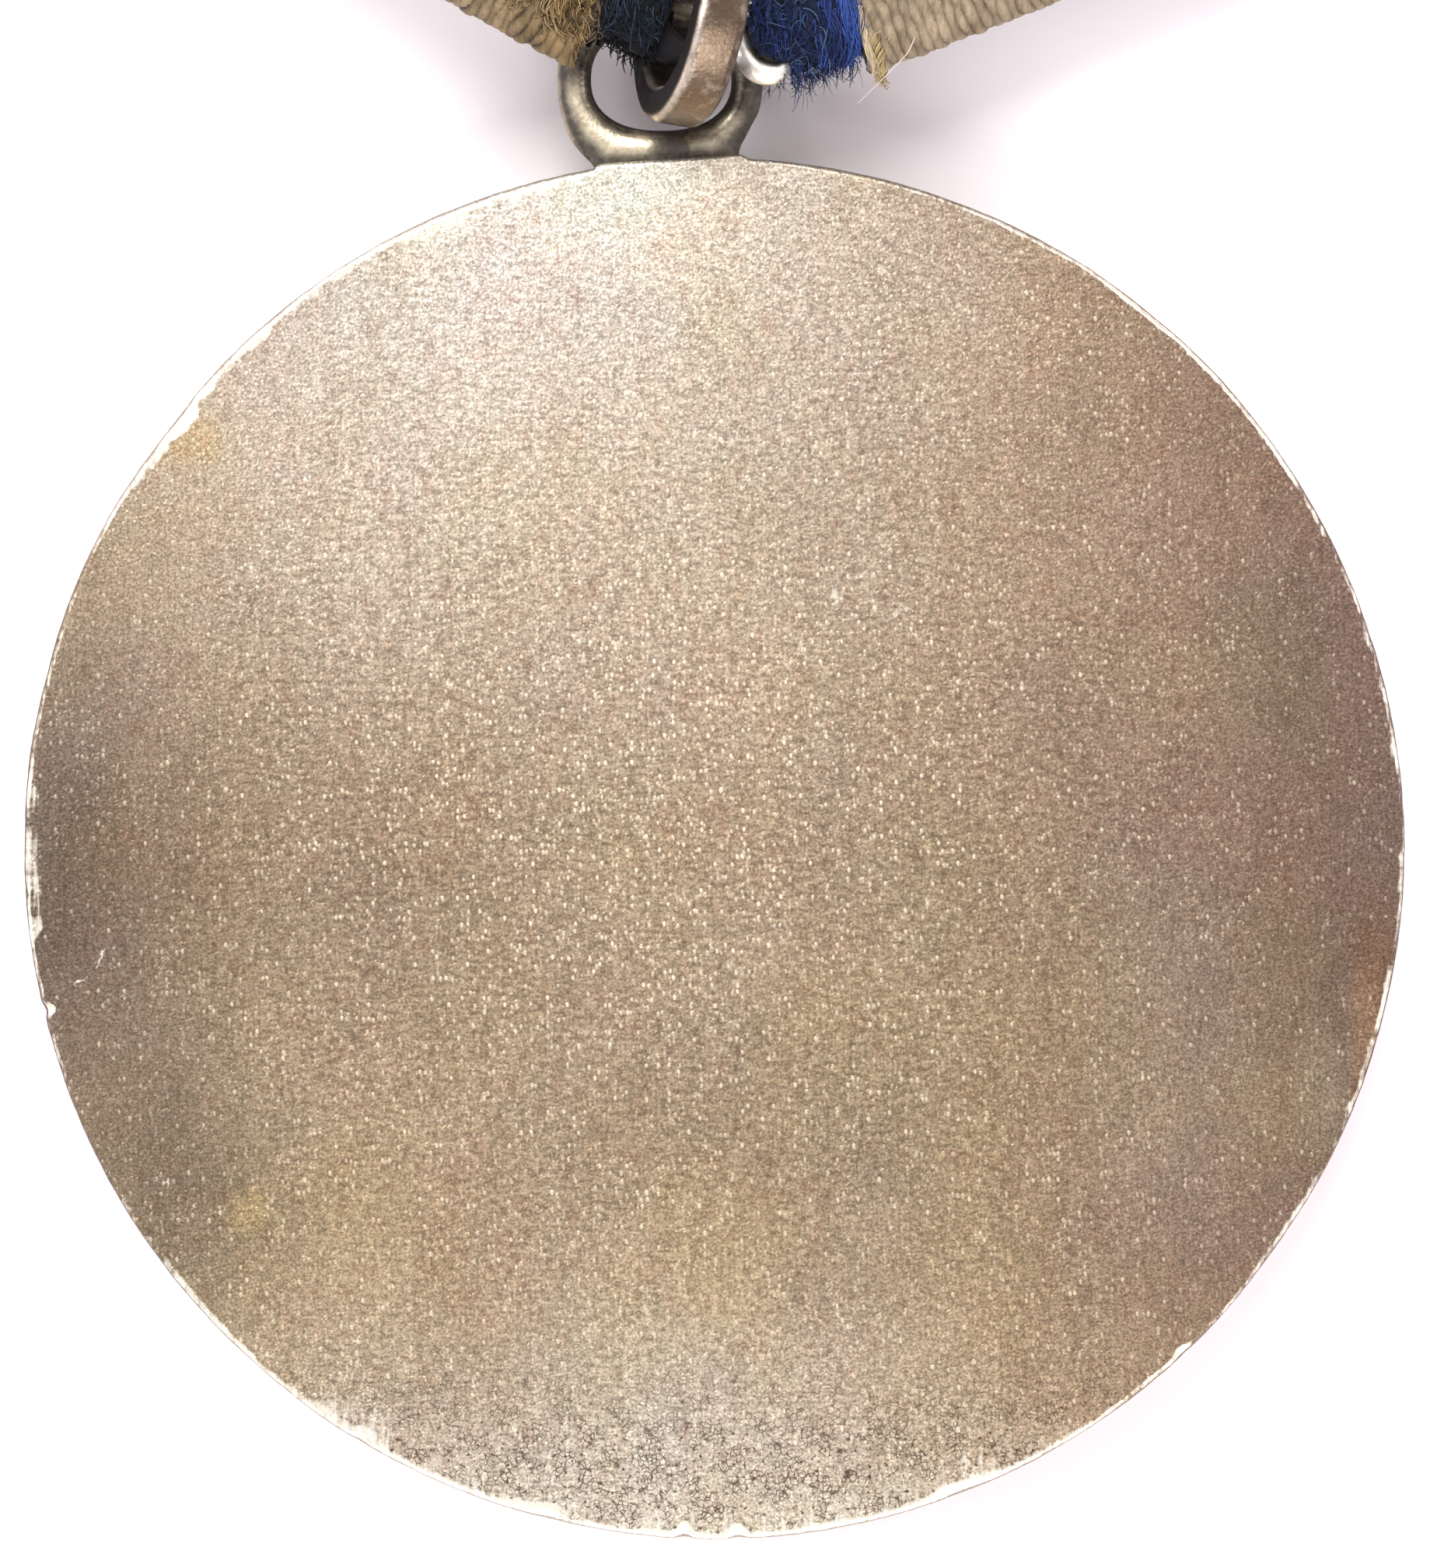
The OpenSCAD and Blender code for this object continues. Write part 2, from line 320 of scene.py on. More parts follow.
def patina_silver():
    """Blasted silver under a worn patina. The tone attribute carries its drift with painted
    reflection, and the mask attribute how rubbed and painted with sheen and highlight (red), how
    crackled (green) and how many painted glints (blue) each part has."""
    k = Look("patina_silver")
    v = k.coords()
    pit = k.noise(v, 7100, 1.5, 0.5)
    fine = k.noise(v, 15000, 1.0, 0.5)
    patch = k.noise(v, 1500, 3.0, 0.6)
    blotch = k.noise(v, 380, 5.0, 0.62)
    drag = k.noise(k.coords((8000, 700, 700)), 1.0, 2.0, 0.6)
    olive = k.noise(k.coords((1, 0.6, 1)), 2300, 2.0, 0.6)
    ripple = k.noise(k.coords((0.55, 1.35, 1)), 5200, 1.5, 0.55)
    cells = k.at(v, "TexVoronoi", feature="DISTANCE_TO_EDGE", Scale=6400)
    beads = k.at(k.coords((1.12, 0.88, 1)), "TexVoronoi", feature="F1", Scale=6300)
    lot = k.split(beads.outputs["Color"])
    rub_and_sheen, crack, glint = k.split(k.tone("mask"))
    colour = k.tint(1.0, k.tone(), k.mix(k.remap(fine, 0.34, 0.66), [0.62, 0.60, 0.585],
                                         [1.20, 1.20, 1.19]))
    # short wrinkles lying across, plainest where the patina is thin
    colour = k.tint(k.remap(glint, 0.12, 0.30), colour,
                    k.mix(k.remap(ripple, 0.36, 0.64), [0.80, 0.775, 0.76], [1.17, 1.17, 1.16]))
    for layer, low, high, share, shade in ((blotch, 0.40, 0.68, 0.45, [0.82, 0.79, 0.775]),
                                           (drag, 0.5, 0.68, 0.55, [0.74, 0.71, 0.68]),
                                           (olive, 0.52, 0.66, 0.3, [0.80, 0.80, 0.72]),
                                           (olive, 0.48, 0.34, 0.6, [0.90, 0.80, 0.76])):
        colour = k.tint(k.remap(layer, low, high, 0.0, share), colour, shade)
    # painted glints: only some of the grains are painted as catching the light, more of them where
    # the patina is thin
    lit = k.add(glint, k.times(k.remap(patch, 0.3, 0.7), 0.55))
    lit = k.remap(k.less(lit, lot[0]), 0.10, 0.20)
    bead = k.remap(beads.outputs["Distance"], 0.42, 0.20)
    spark = k.times(k.times(bead, lit),
                    k.remap(k.math("POWER", lot[1], 1.4), 0.0, 1.0, 0.14, 1.0))
    spark = k.times(spark, k.remap(glint, 0.05, 0.50, 0.22, 0.68))
    # cream painted glints mixed into the colour
    colour = k.mix(spark, colour, [0.98, 0.88, 0.70])
    dark = k.math("MAXIMUM", k.remap(pit, 0.40, 0.30),
                  k.times(k.remap(cells.outputs["Distance"], 0.10, 0.02),
                          k.remap(patch, 0.44, 0.54)))
    colour = k.tint(k.times(dark, crack), colour, [0.24, 0.20, 0.19])
    # pale cream where rubbed and where the corner's painted sheen and highlight lie
    paler = k.add(k.add(rub_and_sheen, k.less(drag, 0.5)), k.times(k.less(pit, 0.5), 0.5))
    paler = k.remap(paler, 0.34, 0.80)
    relief = k.bump(ripple, 0.25, 0.00002, k.bump(bead, 0.35, 0.00003))
    return k.put(Base_Color=k.mix(paler, colour, [0.97, 0.90, 0.77]), Metallic=0.9,
                 Roughness=k.less(k.remap(blotch, 0.3, 0.7, 0.42, 0.56), k.times(paler, 0.12)),
                 Normal=k.bump(fine, 0.30, 0.000015, relief))


def worn_wire(name, dull, bright, rough=(0.30, 0.5), edge=(0.3, 0.8)):
    """Tarnished silver wire: tone red where it is rubbed bright and carries a painted highlight,
    blue where it is sooty and where it carries painted shade.
    """
    k = Look(name)
    v = k.coords()
    spots = k.noise(v, 2600, 4.0, 0.65)
    fine = k.noise(v, 9000, 2.0, 0.5)
    wear_and_highlight, _, soot_and_shade = k.split(k.tone())
    amount = k.remap(k.add(wear_and_highlight, k.times(k.less(spots, 0.5), 0.9)), *edge)
    colour = k.tint(k.remap(fine, 0.4, 0.7, 0.0, 0.4), k.mix(amount, dull, bright),
                    [0.62, 0.58, 0.54])
    return k.put(Base_Color=k.mix(soot_and_shade, colour, [0.012, 0.011, 0.013]),
                 Metallic=k.remap(soot_and_shade, 0.0, 1.0, 0.95, 0.0),
                 Specular_IOR_Level=k.remap(soot_and_shade, 0.0, 0.9, 0.4, 0.04),
                 Roughness=k.add(k.remap(spots, 0.3, 0.7, *rough), k.times(soot_and_shade, 0.25)),
                 Normal=k.bump(fine, 0.35, 0.00003))


def sheet_metal(name, base, paler, stain_and_shade, stretch, polish=0.30, shaded_place=None):
    """Rolled sheet: brushed lines, cloudy stain, small dark spots, and painted shade round a place
    if given.
    """
    k = Look(name)
    v = k.coords()
    cloud = k.noise(v, 150, 6.0, 0.68)
    spots = k.noise(v, 1500, 4.0, 0.7)
    brush = k.noise(k.coords(stretch), 1.0, 4.0, 0.65)
    colour = k.mix(k.remap(brush, 0.35, 0.68), base, paler)
    colour = k.mix(k.remap(cloud, 0.47, 0.66, 0.0, 0.55), colour, stain_and_shade)
    colour = k.tint(k.remap(spots, 0.58, 0.68, 0.0, 0.75), colour, [0.42, 0.38, 0.34])
    k.put(Metallic=0.95)
    if shaded_place is not None:
        place, reach = shaded_place
        far = k.node("VectorMath", operation="DISTANCE")
        k.feed(far.inputs[0], v)
        far.inputs[1].default_value = tuple(place)
        # painted shade: near black and not metallic within reach of the place
        shade = k.remap(far.outputs["Value"], reach * 1.45, reach)
        colour = k.mix(shade, colour, [0.013, 0.012, 0.014])
        k.put(Metallic=k.remap(shade, 0.0, 1.0, 0.95, 0.0),
              Specular_IOR_Level=k.remap(shade, 0.0, 1.0, 0.5, 0.05))
    return k.put(Base_Color=colour,
                 Roughness=k.add(k.remap(cloud, 0.35, 0.7, polish, polish + 0.2),
                                 k.remap(brush, 0.3, 0.7, 0.0, 0.1)),
                 Normal=k.bump(spots, 0.30, 0.00003, k.bump(brush, 0.30, 0.00001)))


def thread():
    """Waxed sewing thread with its twist."""
    k = Look("sewing_thread")
    v = k.coords()
    twist = k.at(v, "TexWave", wave_type="BANDS", bands_direction="DIAGONAL",
                 Scale=2600, Distortion=1.5, Detail=1.0).outputs["Fac"]
    fuzz = k.noise(v, 9000, 2.0, 0.6)
    return k.put(Base_Color=k.tint(k.remap(fuzz, 0.4, 0.7, 0.0, 0.5),
                                   k.mix(twist, lin(120, 100, 70), lin(206, 188, 148)),
                                   [0.6, 0.56, 0.5]),
                 Roughness=k.remap(fuzz, 0.3, 0.7, 0.55, 0.8),
                 Normal=k.bump(twist, 0.6, 0.00005))


def enamel():
    k = Look("red_enamel")
    v = k.coords()
    cloud = k.noise(v, 500, 4.0, 0.6)
    pits = k.noise(v, 6000, 2.0, 0.5)
    return k.put(Base_Color=k.mix(k.remap(cloud, 0.3, 0.7), lin(120, 14, 16), lin(158, 26, 22)),
                 Roughness=k.remap(pits, 0.3, 0.7, 0.08, 0.2),
                 Normal=k.bump(pits, 0.1, 0.00001), Coat_Weight=0.6)


def cloth(name):
    """Faded ribbed silk: tone attribute for colour, weave map in cords and ribs for relief."""
    k = Look(name)
    weave = k.node("UVMap", uv_map="weave").outputs["UV"]
    v = k.coords()
    fibre = k.noise(v, 14000, 2.0, 0.6)
    fade = k.noise(v, 600, 4.0, 0.6)
    ply = k.at(weave, "Mapping", Scale=(15.0, 3.2, 1.0), Rotation=(0, 0, 0.4)).outputs["Vector"]
    streak = k.noise(ply, 1.0, 2.0, 0.6)
    twist = k.noise(weave, 9.0, 2.0, 0.5)
    ribs = k.at(weave, "TexWave", wave_type="BANDS", bands_direction="Y",
                Scale=0.9, Distortion=1.2, Detail=1.0).outputs["Fac"]
    colour = k.tint(k.remap(fibre, 0.35, 0.7, 0.0, 0.5), k.tone(), [0.66, 0.62, 0.58])
    colour = k.tint(k.remap(fade, 0.4, 0.7, 0.0, 0.4), colour, [0.84, 0.80, 0.74])
    colour = k.tint(k.remap(streak, 0.44, 0.66, 0.0, 0.75), colour, [0.66, 0.60, 0.52])
    relief = k.bump(k.add(k.times(ribs, 0.6), k.times(twist, 0.6)), 0.5, 0.00006)
    return k.put(Base_Color=colour, Roughness=0.78, Sheen_Weight=0.06, Specular_IOR_Level=0.16,
                 Normal=k.bump(fibre, 0.5, 0.00003, relief))


def fibre_material():
    k = Look("loose_fibre")
    fine = k.noise(k.coords(), 20000, 1.0, 0.5)
    return k.put(Base_Color=k.tint(k.remap(fine, 0.35, 0.7, 0.0, 0.5), k.tone(), [0.7, 0.7, 0.7]),
                 Roughness=k.remap(fine, 0.3, 0.7, 0.45, 0.7),
                 Specular_IOR_Level=0.14, Sheen_Weight=0.04)


def white_floor():
    k = Look("white_board")
    cloud = k.noise(k.coords(), 30, 2.0, 0.5)
    return k.put(Base_Color=k.mix(cloud, [0.935, 0.875, 0.915], [0.915, 0.855, 0.895]),
                 Roughness=0.9, Specular_IOR_Level=0.1)


SILVER = patina_silver()
EYELET = worn_wire("eyelet_silver", lin(104, 96, 88), lin(246, 232, 202), (0.28, 0.42), (0.12, 1.1))
RING = worn_wire("ring_silver", lin(106, 90, 76), lin(218, 206, 192), (0.30, 0.46))
TIP = worn_wire("tip_silver", lin(168, 152, 140), lin(255, 248, 240), (0.38, 0.50))
# painted shade round the left of the plate's tip
SHADED_TIP = mount_to_row((-1.0, 2.4, 0.3)) * MM, 0.0017
PLATE = sheet_metal("plate_metal", lin(146, 134, 112), lin(170, 156, 130), lin(106, 88, 62),
                    (300, 9000, 300), shaded_place=SHADED_TIP)
BRASS = sheet_metal("dull_brass", lin(158, 126, 68), lin(186, 154, 92), lin(96, 72, 42),
                    (400, 8000, 8000), 0.26)
STEEL = sheet_metal("pin_steel", lin(150, 146, 140), lin(196, 192, 186), lin(112, 96, 80),
                    (500, 12000, 12000), 0.16)
CLOTH = cloth("faded_ribbon")
FIBRE = fibre_material()

# ---- camera, straight above a point a little up from the disc's centre ----
VIEW_Y, VIEW_H, CAM_Z = 1.7603, 42.0965, 217.0
cam_data = bpy.data.cameras.new("camera")
cam = new_object("camera", cam_data)
cam.location = (0.0, VIEW_Y * MM, CAM_Z * MM)
cam_data.sensor_width = 36
cam_data.lens = cam_data.sensor_width * (CAM_Z - DISC_T) / VIEW_H
cam_data.clip_start, cam_data.clip_end = 0.01, 10
bpy.context.scene.camera = cam


# ---- disc ----
# direction in degrees, depth in mm and width in degrees of each nick in the worn corner
NICKS = ((-92.6, 0.26, 0.62), (-88.1, 0.22, 0.75), (-121, 0.12, 0.8), (-47, 0.10, 0.7),
         (193.5, 0.16, 0.6), (18, 0.08, 0.8), (141, 0.14, 1.6), (-104, 0.12, 1.4), (-69, 0.16, 2.2))
# the same of the shallow dips in the outline
DIPS = ((144, 0.07, 5.0), (-36, 0.05, 6.0), (-92.4, 0.03, 0.7), (-88.0, 0.03, 0.8),
        (193.5, 0.05, 0.5))
# ends, width and strength of each scratch
SCRATCHES = ((-16.35, -2.55, -16.62, -3.2, 0.06, 0.62), (-17.3, -3.65, -16.9, -3.45, 0.06, 0.55),
             (2.65, 6.95, 4.95, 6.4, 0.07, 0.50), (-15.1, -8.9, -14.7, -8.95, 0.08, 0.7),
             (-16.05, 2.3, -16.1, 1.4, 0.05, 0.42), (5.9, -8.9, 6.2, -8.7, 0.07, 0.5))
# light or dark amount, then middle and spread across and up the face, in radii; the large light
# drifts at the top are painted reflection
DRIFTS = ((62, -0.27, 0.64, 0.88, 0.62), (8, -0.1, 0.5, 0.3, 0.3), (16, -0.12, 0.28, -0.42, 0.45),
          (-15, -0.58, 0.22, 0.02, 0.24), (26, -0.06, 0.22, 1.0, 0.10),
          (-46, -0.96, 0.22, -0.12, 0.36), (-24, -0.80, 0.17, -0.52, 0.19),
          (-7, -0.1, 0.5, -0.4, 0.2), (-14, -0.13, 0.30, 0.0, 0.65), (-6, 0.05, 0.18, 0.5, 0.2),
          (16, -0.2, 0.3, 0.93, 0.1), (-6, -0.93, 0.06, 0.12, 0.14))
# middle and half sizes of each patch of tarnish, in radii, and what it adds to red, green, blue
TARNISH = ((0.885, -0.35, 0.045, 0.085, 12, 16, 14), (0.945, -0.25, 0.025, 0.07, 18, 18, 16),
           (-0.765, 0.595, 0.05, 0.035, 6, 0, -14), (-0.68, -0.525, 0.03, 0.03, 20, 16, 4),
           (-0.62, -0.26, 0.07, 0.12, 5, 4, 2), (0.66, -0.25, 0.12, 0.22, 5, 10, 8),
           (0.82, -0.28, 0.08, 0.20, 5, 7, -1), (0.80, 0.27, 0.09, 0.14, -9, -4, -7),
           (0.955, -0.30, 0.030, 0.22, 4, -4, -12), (0.86, 0.02, 0.07, 0.28, -2, -1, -3),
           (-0.90, 0.02, 0.05, 0.12, -3, -3, -5))
# how much brighter the corner's painted highlight is on each stretch, then its direction, half width
# and fade
BRIGHT = ((0.34, -100, 36, 12), (0.30, 127, 22, 8), (0.25, 180, 6, 3), (-0.12, -170, 4, 3),
          (0.16, -12, 26, 10), (0.34, 50, 14, 8), (0.22, 190, 6, 4), (0.10, -80, 30, 8))
# how wide the rubbed band is, in mm, how much wider where it is torn, and the stretch again
BANDS = ((0.26, 0, 181, 5.5, 1.5), (0.12, 0, -104.5, 2.2, 1.0), (0.06, 0.16, 125, 20, 5),
         (0.06, 0, -135, 12, 5), (0.05, 0.10, -92, 32, 8), (0.08, 0.14, 109, 6, 4),
         (0, 0.08, -12, 26, 10))
TONE_GAIN = 0.905
SEGMENTS = 1200


def disc_outline(theta):
    """Radius of the worn edge at each angle, drawn out a little at the foot of the eyelet."""
    r = DISC_R + 0.080 + 0.035 * np.cos(theta - math.radians(130))
    r = r - 0.030 * noise1(theta * 9, 3.0) - 0.014 * noise1(theta * 47, 5.0)
    r = r - 0.008 * noise1(theta * 260, 7.0)
    for deg, depth, width in DIPS:
        r = r - depth * bell(away(theta, deg), 0, width)
    d = away(theta, 93.7)
    foot = (DISC_R + 0.105) / np.cos(np.clip(np.radians(d), -1, 1))
    return blend(r, foot, smooth(6.6, 5.7, np.abs(d)))


def patina_and_reflection(x, y):
    """Drift of the patina over the plain reverse with painted reflection, lighter at the top and in
    a bright band along the bottom, as a linear colour.
    """
    u, w = x / DISC_R, y / DISC_R
    right = smooth(0.28, 0.82, u)
    g = 160 - 25 * right - 14 * smooth(0.74, 0.99, u) - 10 * smooth(-0.1, 0.5, u)
    # painted reflection: a bright band along the bottom edge
    g = g + 50 * bell(w, -1.02, 0.28) * (1 - 0.45 * smooth(0.1, 0.7, u))
    for amount, u0, su, w0, sw in DRIFTS:
        g = g + amount * bell(u, u0, su) * bell(w, w0, sw)
    n = noise2(u * 3 + 5, w * 2.4 + 2, 1.0) - 0.5 + 0.6 * (noise2(u * 8, w * 5, 2.0) - 0.5)
    g = g + 13 * n + 7 * (noise2(u * 26, w * 15, 4.0) - 0.5)
    t = np.clip((g - 160) / 55, 0, 1)
    low = smooth(0.1, -0.6, w) * (1 - t)
    r = g * (1.148 - 0.078 * t + 0.052 * right + 0.02 * smooth(150, 110, g))
    b = g * (0.846 + 0.070 * t + 0.010 * right - 0.022 * low + 0.03 * smooth(150, 115, g))
    # amber, rose and grey tarnish lies over it in soft patches
    a = noise2(u * 5 + 11, w * 3.5 + 3, 13.0) - 0.5 + 0.5 * (noise2(u * 13, w * 8, 14.0) - 0.5)
    k = noise2(u * 6 + 4, w * 4 + 7, 15.0) - 0.5 + 0.5 * (noise2(u * 15, w * 9, 16.0) - 0.5)
    rgb = stack(r * (1 + 0.018 * a), g * (1 - 0.012 * k), b * (1 - 0.040 * a + 0.02 * k))
    for px, py, sx, sy, *extra in TARNISH:
        f = np.exp(-((u - px) / sx) ** 4 - ((w - py) / sy) ** 4)
        rgb = rgb + f[..., None] * np.array(extra)
    # divided by the colour and the unevenness of the light
    glow = 1.20 - 0.05 * u + 0.05 * w
    light = glow[..., None] * np.array([1.02, 0.97, 0.94])
    return (np.clip(rgb, 8, 255) / 255) ** 2.2 / light * TONE_GAIN


def obverse_height(r, th):
    """Height of the face-down side: rim, two plain laurel sprays, collar of the roundel."""
    h = np.full(r.shape, RIM_H)
    h = h * (1 - smooth(DISC_R - RIM_W - 0.1, DISC_R - RIM_W + 0.05, r))
    h = h * (1 - smooth(5.5, 5.62, r) * (1 - smooth(6.15, 6.3, r)))
    h = np.where(r < 5.5, 0.5, h)
    x, y = r * np.cos(th), r * np.sin(th)
    for side in (1, -1):
        for i in range(7):
            a = math.radians(20 + i * 130 / 7)
            for tilt in (-28, 28):
                bx, by = 13.2 * side * math.sin(a), -13.2 * math.cos(a)
                ang = side * a + side * math.radians(90 + tilt) + math.pi / 2
                dx, dy = math.cos(ang), math.sin(ang)
                along = (x - bx) * dx + (y - by) * dy
                across = -(x - bx) * dy + (y - by) * dx
                half = 0.68 * np.clip(1 - ((along - 1.7) / 1.7) ** 2, 0, 1)
                inside = smooth(0, 0.25, half - np.abs(across))
                leaf = 0.17 * inside * (0.75 + 0.25 * smooth(0.0, 0.12, np.abs(across)))
                h = np.minimum(h, RIM_H - leaf)
    return h


def corner_wear(th):
    """Worn corner round the reverse at each angle: its width, the nicks' depth, raggedness, the
    brightness of its painted highlight, how torn its edge is, the rubbed band's width, and the
    painted sheen inside it."""
    dent = sum(depth * np.exp(-np.abs(away(th, deg) / width) ** 3) for deg, depth, width in NICKS)
    inset = 0.10 + 0.07 * noise1(th * 11, 41.0) + 0.03 * noise1(th * 60, 42.0) + dent
    ragged = 0.45 + 0.75 * noise1(th * 22, 43.0) + 0.3 * (noise1(th * 90, 44.0) - 0.5)
    bright = 0.42 + sum(amount * arc(th, *where) for amount, *where in BRIGHT)
    # painted reflection: the nicks are painted as bright facets
    bright = np.clip(bright * ragged + 3.0 * dent, 0, 1)
    torn = noise1(th * 70, 45.0)
    band = sum((wide + more * torn) * arc(th, *where) for wide, more, *where in BANDS)
    sheen = 0.34 * arc(th, -92, 30, 12) + 0.30 * arc(th, 108, 8, 6)
    return inset, dent, ragged, bright, torn, band, sheen


def disc_rows(inner):
    """Rows of the disc from the middle of the reverse over the edge to that of the obverse:
    a measure of the radius, the height where it is set here, and the kind of row."""
    corner = ((0.78, 0.008), (0.55, 0.026), (0.34, 0.055), (0.18, 0.09), (0.07, 0.14), (0.0, 0.21))
    foot = ((0.004, 0.20), (0.02, 0.12), (0.06, 0.05), (0.12, 0.012))
    under = (*np.linspace(DISC_R - 0.2, DISC_R - 1.0, 7), *np.linspace(DISC_R - 1.2, 6.5, 42),
             *np.linspace(6.35, 5.4, 8), 4.0, 2.0, 0.002)
    return [(r, None, "reverse") for r in (0.002, *np.linspace(0.6, inner, 30))] \
        + [(f, None, "border") for f in np.linspace(0.0, 1.0, 24)[1:]] \
        + [(f, z, "corner") for f, z in corner] \
        + [(0.0, z, "barrel") for z in (2.1, 1.5, 0.9, 0.35)] \
        + [(d, z, "foot") for d, z in foot] \
        + [(r, None, "obverse") for r in under]


def make_disc():
    th = np.linspace(0, 2 * math.pi, SEGMENTS, endpoint=False)
    edge_r = disc_outline(th)
    inset, dent, ragged, bright, torn, band, sheen = corner_wear(th)
    inner = DISC_R - 2.4
    rows = disc_rows(inner)
    pts, col, msk = [], [], []
    for a, z, kind in rows:
        face = kind in ("reverse", "border")
        r = {"reverse": a, "border": inner + (edge_r - inset - inner) * a,
             "corner": edge_r - inset * a, "obverse": np.minimum(a, edge_r - 0.17)
             }.get(kind, edge_r - a) + 0 * th
        x, y = r * np.cos(th), r * np.sin(th)
        rub_and_sheen, crack, glint, dim = 0.0, 0.0, 1.0, 1.0
        if face:
            u, w = x / DISC_R, y / DISC_R
            z = DISC_T - 0.012 * (r / DISC_R) ** 4 - 0.010 * noise2(x * 0.35 + 9, y * 0.35, 6.0) \
                - 0.004 * noise2(x * 1.3, y * 1.3, 9.0)
            gap = edge_r - inset - r
            # rubbed band inside the corner, with a painted highlight line at the rim and painted
            # sheen further in
            rub_and_sheen = np.where(band > 0.02, bright * smooth(band + 0.03, band - 0.08, gap), 0.0)
            rub_and_sheen = np.maximum(rub_and_sheen, 0.45 * bright * smooth(0.07, 0.0, gap))
            rub_and_sheen = np.maximum(rub_and_sheen, sheen * smooth(1.5, 0.2, gap) * (0.6 + 0.8 * torn))
            for ax, ay, bx, by, wide, deep in SCRATCHES:
                dx, dy = bx - ax, by - ay
                f = np.clip(((x - ax) * dx + (y - ay) * dy) / (dx * dx + dy * dy), 0, 1)
                d = np.hypot(x - ax - f * dx, y - ay - f * dy)
                rub_and_sheen = np.maximum(rub_and_sheen, deep * smooth(wide, wide * 0.3, d))
            crack = 0.12 + 0.95 * smooth(-0.66, -0.92, w) + 0.22 * smooth(0.6, 0.95, w)
            # share of painted glints on each part of the face
            glint = 0.26 + 0.30 * bell(u, -0.15, 0.5) * bell(w, 0.05, 0.42) \
                - 0.14 * smooth(0.4, 0.9, u) - 0.12 * bell(u, -0.9, 0.2) \
                + 0.12 * (noise2(x * 0.8, y * 0.8, 18.0) - 0.5)
            glint = np.clip(glint, 0.02, 1)
        elif kind == "corner":
            outer = a <= 0.3
            z = DISC_T - 0.012 - z * (1 + 5.0 * dent)
            # painted highlight: a bright line on the inner rows of the corner, weaker on the outer
            # rows
            rub_and_sheen, dim, glint = bright * (0.25 if outer else 1.15), 0.62 if outer else 1.0, 0.05
        elif kind == "barrel":
            rub_and_sheen, crack, glint, dim = 0.10 + 0.14 * noise1(th * 30, 46.0), 0.15, 0.02, 0.80
        elif kind == "foot":
            rub_and_sheen, glint = 0.45 * ragged, 0.04
        else:
            z = obverse_height(r, th)
            rub_and_sheen, glint = 0.45 * (z < 0.12), 0.16
        pts.append(stack(x, y, z + 0 * th))
        # below the corner the patina and its painted reflection are drawn in towards the middle line
        col.append(patina_and_reflection(x, y if face or kind == "corner" else y * 0.4) * dim)
        msk.append(stack(*(np.clip(m, 0, 1) + 0 * th for m in (rub_and_sheen, crack, glint))))
    ob = add_object("worn_disc", np.concatenate(pts), grid_faces(len(rows), SEGMENTS, True),
                    SILVER, "medal", np.concatenate(col),
                    mask=np.concatenate(msk))
    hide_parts("medal_disc")


# ---- eyelet and ring ----
def rounded_section(a, b, corner, n=8):
    """Rounded rectangle, half sizes a and b."""
    out = []
    for q in range(4):
        cx, cy = (a - corner) * (1 if q in (0, 3) else -1), (b - corner) * (1 if q < 2 else -1)
        for i in range(n):
            t = math.pi / 2 * (q + i / (n - 1))
            out.append((cx + corner * math.cos(t), cy + corner * math.sin(t)))
    return np.array(out)


LUG = ((0.0, 2.37), (1.1, 2.28), (2.0, 1.78), (2.6, 1.0), (2.80, 0.2), (2.72, -0.32), (2.63, -0.82),
       (2.41, -1.27), (2.16, -1.72), (2.08, -1.97), (2.06, -2.22), (1.0, -2.28), (0.0, -2.34),
       (-1.0, -2.41), (-1.75, -2.44), (-1.86, -2.24), (-2.12, -2.0), (-2.51, -1.49), (-2.71, -0.82),
       (-2.78, -0.15), (-2.78, 0.5), (-2.5, 1.25), (-1.8, 1.95), (-1.0, 2.29))

